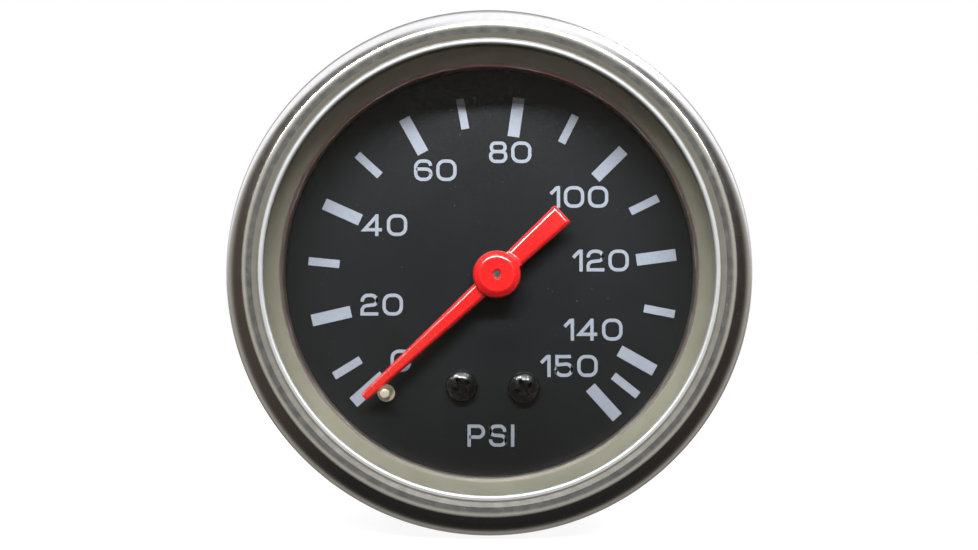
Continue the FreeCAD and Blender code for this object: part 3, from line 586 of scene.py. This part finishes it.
def glass_finish():
    """Flat coated glass: clear, with a faint mirror and specks of dust that thicken towards the top."""
    n = Nodes("lens_glass")
    n.tree.nodes.remove(n.shader)
    place = n.place()
    through = n.feed(n.add("ShaderNodeBsdfTransparent"), {"Color": colour(0.99, 0.995, 0.99)})
    smear = n.spread(n.noise(place, 0.25, 5), 0.02, 0.07)
    mirror = n.feed(n.add("ShaderNodeBsdfGlossy"), {"Roughness": smear})
    fresnel = n.feed(n.add("ShaderNodeFresnel"), {"IOR": 1.26})
    clear = n.feed(n.add("ShaderNodeMixShader"), {
        0: fresnel.outputs[0], 1: through.outputs[0], 2: mirror.outputs[0]})
    parts = n.feed(n.add("ShaderNodeSeparateXYZ"), {0: place})
    upper = n.spread(parts.outputs[2], 0.12, 1.0, 2.0, 19.0)
    specks = n.spread(n.noise(place, 7.5, 1, 0.4), 0.0, 0.05, 0.64, 0.78)
    dust = n.feed(n.add("ShaderNodeBsdfDiffuse"), {"Color": colour(0.62, 0.66, 0.75)})
    mix = n.feed(n.add("ShaderNodeMixShader"), {
        0: n.maths("MULTIPLY", specks, upper), 1: clear.outputs[0], 2: dust.outputs[0]})
    n.link(mix.outputs[0], n.output.inputs["Surface"])
    return n.material


CHROME = chrome_finish()
SATIN = satin_finish()
DIAL_BLACK = dial_finish()
INK = ink_finish()
RED = pointer_finish()
GLASS = glass_finish()
RUBBER = plain_finish(
    "gasket_rubber", colour(0.02, 0.02, 0.02), colour(0.035, 0.034, 0.033), 0.0, (0.6, 0.8), 5.0, 0.01)
CASE_PAINT = plain_finish(
    "case_paint", colour(0.018, 0.018, 0.019), colour(0.028, 0.028, 0.03), 0.0, (0.3, 0.45), 2.6, 0.02,
    coat=0.25)
SCREW_BLACK = plain_finish(
    "screw_black", colour(0.008, 0.008, 0.0085), colour(0.014, 0.0135, 0.013), 0.3, (0.2, 0.3), 6.0, 0.003,
    coat=0.5)
BRASS = plain_finish(
    "brass", colour(0.72, 0.53, 0.24), colour(0.60, 0.43, 0.19), 1.0, (0.22, 0.36), 6.0, 0.003, marks=1.5)
BRIGHT_BRASS = plain_finish(
    "brass_bright", colour(0.86, 0.79, 0.62), colour(0.74, 0.66, 0.48), 1.0, (0.2, 0.32), 8.0, 0.003,
    marks=1.0, centre=node_centre("stop_pin"))
PALE_BRASS = plain_finish(
    "stop_brass", colour(0.95, 0.88, 0.74), colour(0.80, 0.72, 0.58), 0.4, (0.28, 0.4), 8.0, 0.002)
STEEL = plain_finish(
    "steel", colour(0.62, 0.62, 0.61), colour(0.5, 0.5, 0.49), 1.0, (0.2, 0.34), 8.0, 0.003, marks=1.0)
SPRING_BRONZE = plain_finish(
    "spring_bronze", colour(0.7, 0.48, 0.27), colour(0.58, 0.38, 0.2), 1.0, (0.2, 0.3), 8.0, 0.002)
TUBE_BRONZE = plain_finish(
    "tube_bronze", colour(0.66, 0.42, 0.22), colour(0.48, 0.29, 0.15), 1.0, (0.26, 0.42), 3.0, 0.004)
SOCKET_BRASS = plain_finish(
    "socket_brass", colour(0.74, 0.57, 0.28), colour(0.6, 0.45, 0.2), 1.0, (0.2, 0.36), 4.0, 0.004, marks=2.0)
ZINC = plain_finish(
    "screw_zinc", colour(0.62, 0.62, 0.6), colour(0.5, 0.51, 0.5), 1.0, (0.24, 0.4), 5.0, 0.004)

SLOTS = {
    "gasket_rubber": RUBBER, "case_paint": CASE_PAINT, "dial_black": DIAL_BLACK, "screw_black": SCREW_BLACK,
    "brass": BRASS, "brass_bright": BRIGHT_BRASS, "steel": STEEL, "spring_bronze": SPRING_BRONZE,
    "tube_bronze": TUBE_BRONZE, "socket_brass": SOCKET_BRASS, "screw_zinc": ZINC, "bezel_chrome": CHROME,
    "satin_nickel": SATIN, "pointer_red": RED, "lens_glass": GLASS,
}


def dress_cad_nodes():
    """Gives each CAD node the material of its slot in the record."""
    for row in frame["record"]["subparts"]:
        node = frame["nodes"][row["node"]]
        if not node.material_slots:
            node.data.materials.append(None)
        for place in node.material_slots:
            place.material = SLOTS[row["material_slot"]]


# ---------------------------------------------------------------- ring parts

def make_bezel():
    """The rolled ring: seat, wall, flared bead, crest, land and the lip that holds the glass."""
    centre = (BEZEL_RADIUS - BEAD_RADIUS, 0)
    inner_radius = BEAD_RADIUS - BEZEL_SHEET
    under = math.degrees(math.asin((BEAD_Y - GLASS_FRONT) / inner_radius / BEAD_STRETCH))

    def bead(radius, start, end, steps):
        return [(r, BEAD_Y + y * BEAD_STRETCH) for r, y in arc(centre, radius, start, end, steps)]

    corner = (BEZEL_RADIUS - SEAT_ROUND, -SEAT_ROUND)
    outline = rounded([
        (SEAT_INNER_RADIUS, 0.0, 0.12), (SEAT_INNER_RADIUS + 0.4, 0.0), (corner[0], 0.0),
    ], closed=False, steps=3)
    outline += arc(corner, SEAT_ROUND, 90, 0, 8)
    outline += bead(BEAD_RADIUS, 0, BEAD_END_ANGLE, 48)
    outline += rounded([
        outline[-1], (*CREST, 0.9), (*LAND_OUTER, 0.3), (*LAND_INNER, 0.2), LIP_OUTER,
    ], closed=False, steps=12)[1:-1]
    outline += arc(LIP_CENTRE, LIP_ROUND, -87, -205, 20)
    outline += [(LIP_UNDERCUT_RADIUS, GLASS_FRONT), (GLASS_SEAT_RADIUS, GLASS_FRONT)]
    outline += bead(inner_radius, -under, 0, 24)
    outline += arc(corner, 0.4, 0, 90, 4)
    outline += [(SEAT_INNER_RADIUS, -BEZEL_SHEET)]
    bezel = lathe("bezel_ring_rolled", outline, CHROME, HOME, segments=360, sharp_degrees=60)
    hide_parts("bezel_ring")


def make_glass():
    """The flat lens, with its edges eased."""
    radius, rear, _ = node_box("lens")[1]
    outline = rounded([
        (0, GLASS_FRONT), (radius, GLASS_FRONT, 0.15), (radius, rear, 0.15), (0, rear),
    ], steps=3)
    glass = lathe("lens_disc", outline, GLASS, HOME, segments=256)
    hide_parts("lens")


def make_reflector():
    """The satin ring between the glass and the dial, with a rounded inner edge."""
    low, high = node_box("reflector_ring")
    front, skirt = low[1], high[1]
    foot, edge = REFLECTOR_FOOT_RADIUS, REFLECTOR_EDGE_RADIUS
    rear, back = front + REFLECTOR_SHEET, edge + REFLECTOR_SHEET
    outline = rounded([
        (high[0], front), (foot, front, 0.25), (edge, REFLECTOR_EDGE_Y, 0.42), (edge, skirt, 0.08),
        (back, skirt, 0.08), (back, -2.6, 0.2), (foot + 0.2, rear, 0.3), (high[0], rear),
    ], steps=8)
    reflector = lathe("reflector_spun", outline, SATIN, HOME, segments=360, sharp_degrees=60)
    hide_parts("reflector_ring")


# ---------------------------------------------------------------- printed scale

GLYPHS = {
    # Width, then strokes as (closed, corners), in cap heights from the glyph's left and the baseline.
    "0": (0.92, [(True, [(0, 0, 0.36), (0.92, 0, 0.36), (0.92, 1, 0.36), (0, 1, 0.36)])]),
    "1": (0.42, [(False, [(0, 0.66), (0.36, 1.03)]), (False, [(0.42, -0.09), (0.42, 1.09)])]),
    "2": (0.80, [(False, [
        (0, 0.66), (0, 1, 0.32), (0.8, 1, 0.32), (0.8, 0.5, 0.26), (0, 0.42, 0.26), (0, 0), (0.87, 0)])]),
    "4": (0.92, [(False, [(0.66, 1.0), (0, 0.25), (0.95, 0.25)]), (False, [(0.67, -0.09), (0.67, 1.09)])]),
    "5": (0.84, [(False, [
        (0.8, 1), (0.05, 1), (0.05, 0.56), (0.84, 0.63, 0.3), (0.84, 0, 0.32), (0, 0, 0.32), (0, 0.27)])]),
    "6": (0.82, [(False, [
        (0.8, 0.74), (0.8, 1, 0.26), (0, 1, 0.34), (0, 0, 0.34), (0.82, 0, 0.3), (0.82, 0.56, 0.26),
        (0.03, 0.56)])]),
    "8": (0.82, [
        (True, [(0, 0, 0.27), (0.82, 0, 0.27), (0.82, 0.54, 0.24), (0, 0.54, 0.24)]),
        (True, [(0.04, 0.54, 0.22), (0.78, 0.54, 0.22), (0.78, 1, 0.22), (0.04, 1, 0.22)])]),
    "P": (0.76, [(False, [(0, -0.09), (0, 1), (0.76, 1, 0.28), (0.76, 0.42, 0.28), (0, 0.42)])]),
    "S": (0.80, [(False, [
        (0.76, 0.70), (0.76, 1, 0.28), (0, 1, 0.28), (0, 0.54, 0.24), (0.8, 0.48, 0.26), (0.8, 0, 0.28),
        (0, 0, 0.28), (0, 0.3)])]),
    "I": (0.0, [(False, [(0, -0.09), (0, 1.09)])]),
}
GLYPH_GAP = 0.2

# Where each label's middle lies from the middle of the scale, in millimetres.
LABELS = {
    "0": (-10.58, -9.4), "20": (-12.82, -2.95), "40": (-12.49, 6.28), "60": (-6.67, 12.7),
    "80": (2.05, 14.8), "100": (10.0, 9.57), "120": (12.46, 2.16), "140": (11.55, -5.84),
    "150": (8.75, -10.02), "PSI": (-0.2, -18.0),
}


def add_label(bm, text, middle):
    """Adds a line of lettering about its middle. Each further stroke of a glyph stands a little higher."""
    width = sum(GLYPHS[letter][0] for letter in text) + (GLYPH_GAP + STROKE / CAP_HEIGHT) * (len(text) - 1)
    left = middle[0] - width * CAP_HEIGHT / 2
    base = middle[1] - CAP_HEIGHT / 2
    for letter in text:
        glyph_width, strokes = GLYPHS[letter]
        for level, (closed, corners) in enumerate(strokes):
            placed = [
                (left + x * CAP_HEIGHT, base + z * CAP_HEIGHT, *(r * CAP_HEIGHT for r in radius))
                for x, z, *radius in corners
            ]
            path = rounded(placed, closed, steps=LABEL_ROUND_STEPS)
            front = DIAL_FRONT - INK_THICKNESS * (1 + STROKE_STEP * level)
            add_ribbon(bm, path, STROKE / 2, closed, front, DIAL_FRONT)
        left += (glyph_width + GLYPH_GAP + STROKE / CAP_HEIGHT) * CAP_HEIGHT


def make_print():
    """The numerals and the tick marks, as thin ink on the dial."""
    labels = bmesh.new()
    for text, (x, z) in LABELS.items():
        add_label(labels, text, (SCALE_CENTRE[0] + x, SCALE_CENTRE[1] + z))
    numerals = finish_mesh("dial_numerals", labels, INK, HOME)
    ticks = bmesh.new()
    majors = list(range(0, SCALE_TOP_PSI, 20)) + [SCALE_TOP_PSI]
    minors = list(range(10, SCALE_TOP_PSI - 10, 20)) + [SCALE_TOP_PSI - 5]
    for psi_marks, (length, width) in ((majors, MAJOR_TICK), (minors, MINOR_TICK)):
        for psi in psi_marks:
            turn = MARK_75 + (75 - psi) * DEGREES_PER_PSI if psi else ZERO_MARK
            ends = [polar(TICK_OUTER - inward, turn, SCALE_CENTRE) for inward in (length, 0)]
            add_ribbon(ticks, ends, width / 2, False, DIAL_FRONT - INK_THICKNESS, DIAL_FRONT)
    scale = finish_mesh("dial_ticks", ticks, INK, HOME)


# ---------------------------------------------------------------- pointer and dial hardware

def add_pillow(bm, outline_at, front, rear, profile):
    """Adds a solid whose front edge rolls over. The profile lists each step outward and its slope in
    degrees. The outline's points carry the share of the roll that they take."""
    inset, drop = sum(step for step, _ in profile), 0.0
    loops = [(inset, drop)]
    for step, slope in profile:
        inset -= step
        drop += step * math.tan(math.radians(slope))
        loops.append((max(inset, 0.0), drop))
    rows = [
        [bm.verts.new((x * MM, (front + drop * share) * MM, z * MM)) for x, z, share in outline_at(inset)]
        for inset, drop in loops
    ]
    rows.append([bm.verts.new((x * MM, rear * MM, z * MM)) for x, z, _ in outline_at(0.0)])
    add_skin(bm, rows)


def make_pointer():
    """The needle and its counterweight tail with rolled edges, a raised pad and a turned hub with an eye."""

    def blade_outline(inset):
        taken = TIP_ROLL * inset
        half = [
            (TAIL + inset, TAIL_HALF_WIDTH - inset, max(TAIL_CORNER - inset, 0.03)),
            (0.0, WAIST_HALF_WIDTH - inset),
            (TIP - taken, TIP_HALF_WIDTH - taken, max(TIP_CORNER - inset, 0.02)),
        ]
        corners = half + [(along, -across, *radius) for along, across, *radius in half[::-1]]
        return [
            (*turned(SHAFT, POINTER_REST, along, across), 1 - (1 - TIP_ROLL) * max(along, 0) / TIP)
            for along, across in rounded(corners, steps=5)
        ]

    def pad_outline(inset):
        points = []
        for turn, end in ((POINTER_REST, PAD_TIP_END), (POINTER_REST + 180, PAD_TAIL_END)):
            reach = math.degrees(math.asin((PAD_HALF_WIDTH - inset) / (end - inset)))
            points += arc(SHAFT, end - inset, turn - reach, turn + reach, 16)
        return [(x, z, 1) for x, z in points]

    bm = bmesh.new()
    blade_rear = BLADE_TOP + BLADE_THICKNESS
    add_pillow(bm, blade_outline, BLADE_TOP, blade_rear, BLADE_EDGE)
    add_pillow(bm, pad_outline, BLADE_TOP - PAD_RISE, blade_rear, PAD_EDGE)
    blade = finish_mesh("pointer_needle", bm, RED, None)
    low, high = node_box("pointer")
    front, rear = low[1], high[1]
    eye_floor = front + EYE_DEPTH
    hub = rounded([
        (EYE_RADIUS, eye_floor), (EYE_RADIUS, front + 0.18, 0.05), (EYE_RADIUS + 0.2, front, 0.06),
        (HUB_TOP_RADIUS, front, 0.6), (HUB_SHOULDER_RADIUS, front + 0.43, 0.3),
        (HUB_RADIUS, front + 0.85, 0.1), (HUB_RADIUS, rear, 0.1), (BUSH_RADIUS, rear),
        (BUSH_RADIUS, eye_floor),
    ], steps=12)
    add_to_mesh(blade, hub, SHAFT)
    end_radius, end_rear = EYE_RADIUS - 0.002, eye_floor - 0.01
    shaft_end = rounded([
        (0, front + 0.31), (0.3, front + 0.25, 0.05), (end_radius, front + 0.29), (end_radius, end_rear),
        (0, end_rear),
    ], steps=4)
    staff = lathe("pointer_staff_end", shaft_end, PALE_BRASS, None, SHAFT, 64)
    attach(staff, "pointer")
    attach(blade, "pointer")
    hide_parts("pointer")


def add_to_mesh(piece, outline, centre):
    """Adds a turned solid to a piece's mesh."""
    bm = bmesh.new()
    bm.from_mesh(piece.data)
    added = bmesh.new()
    add_lathe(added, outline, centre, 144)
    bmesh.ops.recalc_face_normals(added, faces=added.faces)
    mesh = bpy.data.meshes.new("turned")
    added.to_mesh(mesh)
    added.free()
    mesh.shade_smooth()
    bm.from_mesh(mesh)
    bm.to_mesh(piece.data)
    bm.free()
    bpy.data.meshes.remove(mesh)
    piece.data.set_sharp_from_angle(angle=math.radians(SHARP_DEGREES))


def cross_outline(reach, half_width, degrees, centre):
    """A twelve-cornered cross."""
    points = []
    for quarter in range(4):
        for along, across in ((half_width, half_width), (reach, half_width), (reach, -half_width)):
            points.append(turned(centre, degrees - 90 * quarter, along, across))
    return points


def add_taper(bm, mouth, floor, y_mouth, y_floor):
    """Adds a solid between two outlines with the same number of corners."""
    add_skin(bm, [
        [bm.verts.new((x * MM, y * MM, z * MM)) for x, z in outline]
        for outline, y in ((mouth, y_mouth), (floor, y_floor))
    ])


def pan_head(name, centre, radius, seat, top, shank_radius, shank_end, turn, material):
    """A pan-head screw with a cross recess. The head stands from seat to top, either way along Y."""
    rise = seat - top
    outline = [(0, top)]
    crown = radius * 0.5
    outline += rounded([
        (crown * 0.5, top), (crown, top + rise * 0.04, radius * 0.5),
        (radius, top + rise * 0.42, radius * 0.32), (radius, seat, radius * 0.04),
        (shank_radius, seat), (shank_radius, shank_end, 0.15), (0, shank_end),
    ], closed=False, steps=8)
    screw = lathe(name, outline, material, None, centre)
    past = top - rise * 0.2
    depth = top + rise * 0.75
    cutter = bmesh.new()
    mouth = cross_outline(radius * 0.72, radius * 0.17, turn, centre)
    floor = cross_outline(radius * 0.34, radius * 0.1, turn, centre)
    add_taper(cutter, mouth, floor, past, depth)
    carve(screw, finish_mesh("recess", cutter, material, None))
    soften(screw, radius * 0.04)
    return screw


def make_dial_screws():
    low, high = node_box("dial_screws")
    radius = DIAL_SCREW_HEAD
    centres = ((low[0] + radius, high[2] - radius), (high[0] - radius, low[2] + radius))
    made = []
    for side, centre, turn in zip(("left", "right"), centres, DIAL_SCREW_TURNS):
        screw = pan_head(
            "dial_screw_" + side, centre, radius, DIAL_FRONT, low[1], DIAL_SCREW_SHANK, high[1], turn,
            SCREW_BLACK)
        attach(screw, HOME)
        made.append(screw)
    for screw in made:
        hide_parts("dial_screws")


def make_stop_pin():
    """A turned post in a collar that stands on the dial."""
    low, high = node_box("stop_pin")
    top, groove, crown = low[1], DIAL_FRONT - 0.05, DIAL_FRONT - COLLAR_HEIGHT
    outline = rounded([
        (0, top), (POST_RADIUS, top + 0.02, 0.12), (POST_RADIUS, groove, 0.02),
        (COLLAR_INNER_RADIUS, groove, 0.02), (0.72, DIAL_FRONT - 0.25, 0.03), (0.93, crown, 0.06),
        (COLLAR_RADIUS, crown + 0.03, 0.05),
        (COLLAR_RADIUS, DIAL_FRONT, 0.04), (POST_SHANK_RADIUS, DIAL_FRONT), (POST_SHANK_RADIUS, high[1]),
        (0, high[1]),
    ], steps=6)
    pin = lathe("stop_post", outline, PALE_BRASS, HOME, node_centre("stop_pin"))
    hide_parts("stop_pin")


# ---------------------------------------------------------------- back and inside

THREAD_SEGMENTS = 64
THREAD_ROWS_PER_PITCH = 10
THREAD_ROOT = 0.12
THREAD_FLANK = 0.72
THREAD_END_EASE = 0.05


def add_thread(bm, centre, radius, depth, pitch, start, end):
    """Adds a threaded rod with chamfered ends. Its radius follows a helical ridge with a flat root and crest,
    and the root and the flank are shares of half a pitch."""
    rows = int((end - start) / pitch * THREAD_ROWS_PER_PITCH)
    segments = THREAD_SEGMENTS
    grid = []
    for k in range(rows + 1):
        y = start + (end - start) * k / rows
        row = []
        for i in range(segments):
            phase = (y / pitch - i / segments) % 1
            ridge = 1 - abs(2 * phase - 1)
            ridge = min(max((ridge - THREAD_ROOT) / THREAD_FLANK, 0), 1)
            r = radius - depth * (1 - ridge)
            limit = radius - depth + min(y - start, end - y) + THREAD_END_EASE
            x, z = polar(min(r, limit), 360 * i / segments, centre)
            row.append(bm.verts.new((x * MM, y * MM, z * MM)))
        grid.append(row)
    for row, following in zip(grid, grid[1:]):
        for i in range(segments):
            j = (i + 1) % segments
            bm.faces.new((row[i], row[j], following[j], following[i]))
    bm.faces.new(grid[0])
    bm.faces.new(grid[-1][::-1])


def make_mounting_studs():
    """Weld studs with an M4 thread on a plain foot."""
    low, high = node_box("mounting_studs")
    foot_radius = high[2]
    base = low[1]
    step = base + STUD_FOOT_HEIGHT
    for side, x in (("left", low[0] + foot_radius), ("right", high[0] - foot_radius)):
        bm = bmesh.new()
        centre = (x, 0)
        add_thread(bm, centre, STUD_RADIUS, STUD_THREAD_DEPTH, STUD_THREAD_PITCH, base + 2.0, high[1])
        foot = rounded([
            (0, base), (foot_radius, base), (foot_radius, step, 0.25), (STUD_NECK_RADIUS, step, 0.2),
            (STUD_NECK_RADIUS, base + 2.2, 0.1), (0, base + 2.2),
        ], steps=5)
        add_lathe(bm, foot, centre, 96)
        stud = finish_mesh("mounting_stud_" + side, bm, ZINC, HOME)
        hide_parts("mounting_studs")


def make_socket_screws():
    """Cross-head screws that hold the socket to the back of the case."""
    low, high = node_box("socket_screws")
    radius = high[2]
    seat = node_box("case_shell")[1][1]
    for side, x in (("left", low[0] + radius), ("right", high[0] - radius)):
        screw = pan_head(
            "socket_screw_" + side, (x, 0), radius, seat, high[1], SOCKET_SCREW_SHANK, low[1],
            SOCKET_SCREW_TURN, ZINC)
        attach(screw, HOME)
        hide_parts("socket_screws")


def make_bourdon_tube():
    """The flattened tube, bent to a C from the socket to the tip block."""
    low, high = node_box("bourdon_tube")
    half = TUBE_HALF_THICKNESS
    radius = high[2] - half
    start, end = TUBE_ANGLES
    outline = rounded([
        (radius - half, low[1], half * 0.99), (radius + half, low[1], half * 0.99),
        (radius + half, high[1], half * 0.99), (radius - half, high[1], half * 0.99),
    ], steps=8)
    bm = bmesh.new()
    add_lathe(bm, outline, (0, 0), 180, start, end - start)
    tube = finish_mesh("bourdon_tube_c", bm, TUBE_BRONZE, None, 50)
    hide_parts("bourdon_tube")
    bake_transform(tube)


# ---------------------------------------------------------------- stage

CAMERA_DISTANCE = 140.0
CAMERA_ELEVATION = 3.8
CAMERA_LENS = 45.24
AIM = (-0.03, -3.4, -0.604)
BEZEL_MIDDLE = (0.0, -3.4, 0.0)
FLOOR_SIZE = 6.0
FLOOR_GAP = 0.0001

# What the metal mirrors: a direction, the angles that its patch fades between, and its colour. Later rows
# lie over earlier ones.
ROOM_TONE = (0.016, 0.015, 0.014)
ROOM = (
    ((1, 0, 0.15), 25, 72, (0.03, 0.022, 0.018)),
    ((-1, 0, 0.25), 25, 72, (0.06, 0.044, 0.035)),
    ((0, 0.97, 0.25), 48, 76, (0.38, 0.36, 0.32)),
    ((0, -1, 0.33), 28, 46, (0.25, 0.23, 0.18)),
    ((0, -1, 0.085), 9, 11.5, (0.04, 0.04, 0.042)),
    ((0, 0.75, 0.66), 43, 53, (1.15, 1.15, 1.2)),
    ((0.12, -0.25, 0.96), 12, 30, (1.1, 1.1, 1.15)),
    ((0, 0.93, 0.37), 22, 30, (0.34, 0.32, 0.32)),
)


def make_camera():
    """The camera looks up slightly from below the case axis."""
    data = bpy.data.cameras.new("camera")
    data.lens = CAMERA_LENS
    data.sensor_width = 36
    data.clip_start = 0.005
    data.clip_end = 50
    camera = bpy.data.objects.new("camera", data)
    bpy.context.scene.collection.objects.link(camera)
    down = math.radians(CAMERA_ELEVATION)
    place = Vector(BEZEL_MIDDLE) - CAMERA_DISTANCE * Vector((0, math.cos(down), math.sin(down)))
    camera.location = place * MM
    camera.rotation_euler = (Vector(AIM) - place).to_track_quat("-Z", "Y").to_euler()
    bpy.context.scene.camera = camera


def area_light(name, place, aim, size, power, tint=(1, 1, 1)):
    """A rectangular softbox. Place, aim and size are in millimetres."""
    data = bpy.data.lights.new(name, "AREA")
    data.shape = "RECTANGLE"
    data.size, data.size_y = size[0] * MM, size[1] * MM
    data.energy = power
    data.color = tint
    light = bpy.data.objects.new(name, data)
    bpy.context.scene.collection.objects.link(light)
    light.location = Vector(place) * MM
    light.rotation_euler = (Vector(aim) - Vector(place)).to_track_quat("-Z", "Y").to_euler()
    light.visible_camera = False


def make_floor():
    """A plain pale floor under the gauge, which can be looked through from below."""
    bm = bmesh.new()
    bmesh.ops.create_grid(bm, x_segments=1, y_segments=1, size=FLOOR_SIZE)
    n = Nodes("stage_floor")
    far = n.feed(n.add("ShaderNodeVectorMath", operation="LENGTH"), {0: n.place()}).outputs["Value"]
    glow = n.spread(far, 0.92, 1.05, 40, 260, smooth=True)
    emission = n.feed(n.add("ShaderNodeEmission"), {"Strength": glow})
    n.feed(n.shader, {"Base Color": colour(0.16, 0.16, 0.16), "Roughness": 1.0, "Specular IOR Level": 0.0})
    lit = n.add("ShaderNodeAddShader")
    n.feed(lit, {0: emission.outputs[0], 1: n.shader.outputs[0]})
    clear = n.add("ShaderNodeBsdfTransparent")
    mix = n.add("ShaderNodeMixShader")
    behind = n.add("ShaderNodeNewGeometry").outputs["Backfacing"]
    n.feed(mix, {0: behind, 1: lit.outputs[0], 2: clear.outputs[0]})
    n.link(mix.outputs[0], n.output.inputs["Surface"])
    floor = finish_mesh("stage_floor", bm, n.material, None)
    floor.location.z = CAD_BOX[0][2] - FLOOR_GAP
    floor.visible_diffuse = False
    floor.visible_glossy = False


def make_world():
    """White where the camera looks past the gauge. The metal mirrors a dim room, pale above and behind."""
    world = bpy.data.worlds.new("studio")
    bpy.context.scene.world = world
    world.use_nodes = True
    t = Tree(world.node_tree)
    t.tree.nodes.clear()
    direction = t.add("ShaderNodeTexCoord").outputs["Generated"]
    tone = colour(*ROOM_TONE)
    for axis, inner, outer, patch in ROOM:
        along = t.feed(t.add("ShaderNodeVectorMath", operation="DOT_PRODUCT"),
                       {0: direction, 1: Vector(axis).normalized()}).outputs["Value"]
        start, end = (math.cos(math.radians(angle)) for angle in (outer, inner))
        share = t.spread(along, 0, 1, start, end, smooth=True)
        tone = t.blend(share, tone, colour(*patch))
    studio = t.feed(t.add("ShaderNodeBackground"), {"Color": tone})
    white = t.feed(t.add("ShaderNodeBackground"), {"Color": colour(1, 1, 1)})
    path = t.add("ShaderNodeLightPath")
    mix = t.feed(t.add("ShaderNodeMixShader"), {
        0: path.outputs["Is Camera Ray"], 1: studio.outputs[0], 2: white.outputs[0]})
    t.link(mix.outputs[0], t.add("ShaderNodeOutputWorld").inputs["Surface"])


def make_lights():
    """A wide strip above the front, and a small box behind."""
    area_light("key_strip", (40, -600, 600), (0, -2, 0), (1500, 60), 27.2, (0.94, 0.97, 1.0))
    area_light("rear_fill", (240, 300, 400), (0, 20, 0), (130, 130), 1.3)


dress_cad_nodes()
make_bezel()
make_glass()
make_reflector()
make_print()
make_pointer()
make_dial_screws()
make_stop_pin()
make_mounting_studs()
make_socket_screws()
make_bourdon_tube()
make_camera()
make_floor()
make_world()
make_lights()
bpy.context.scene.view_settings.view_transform = "Standard"
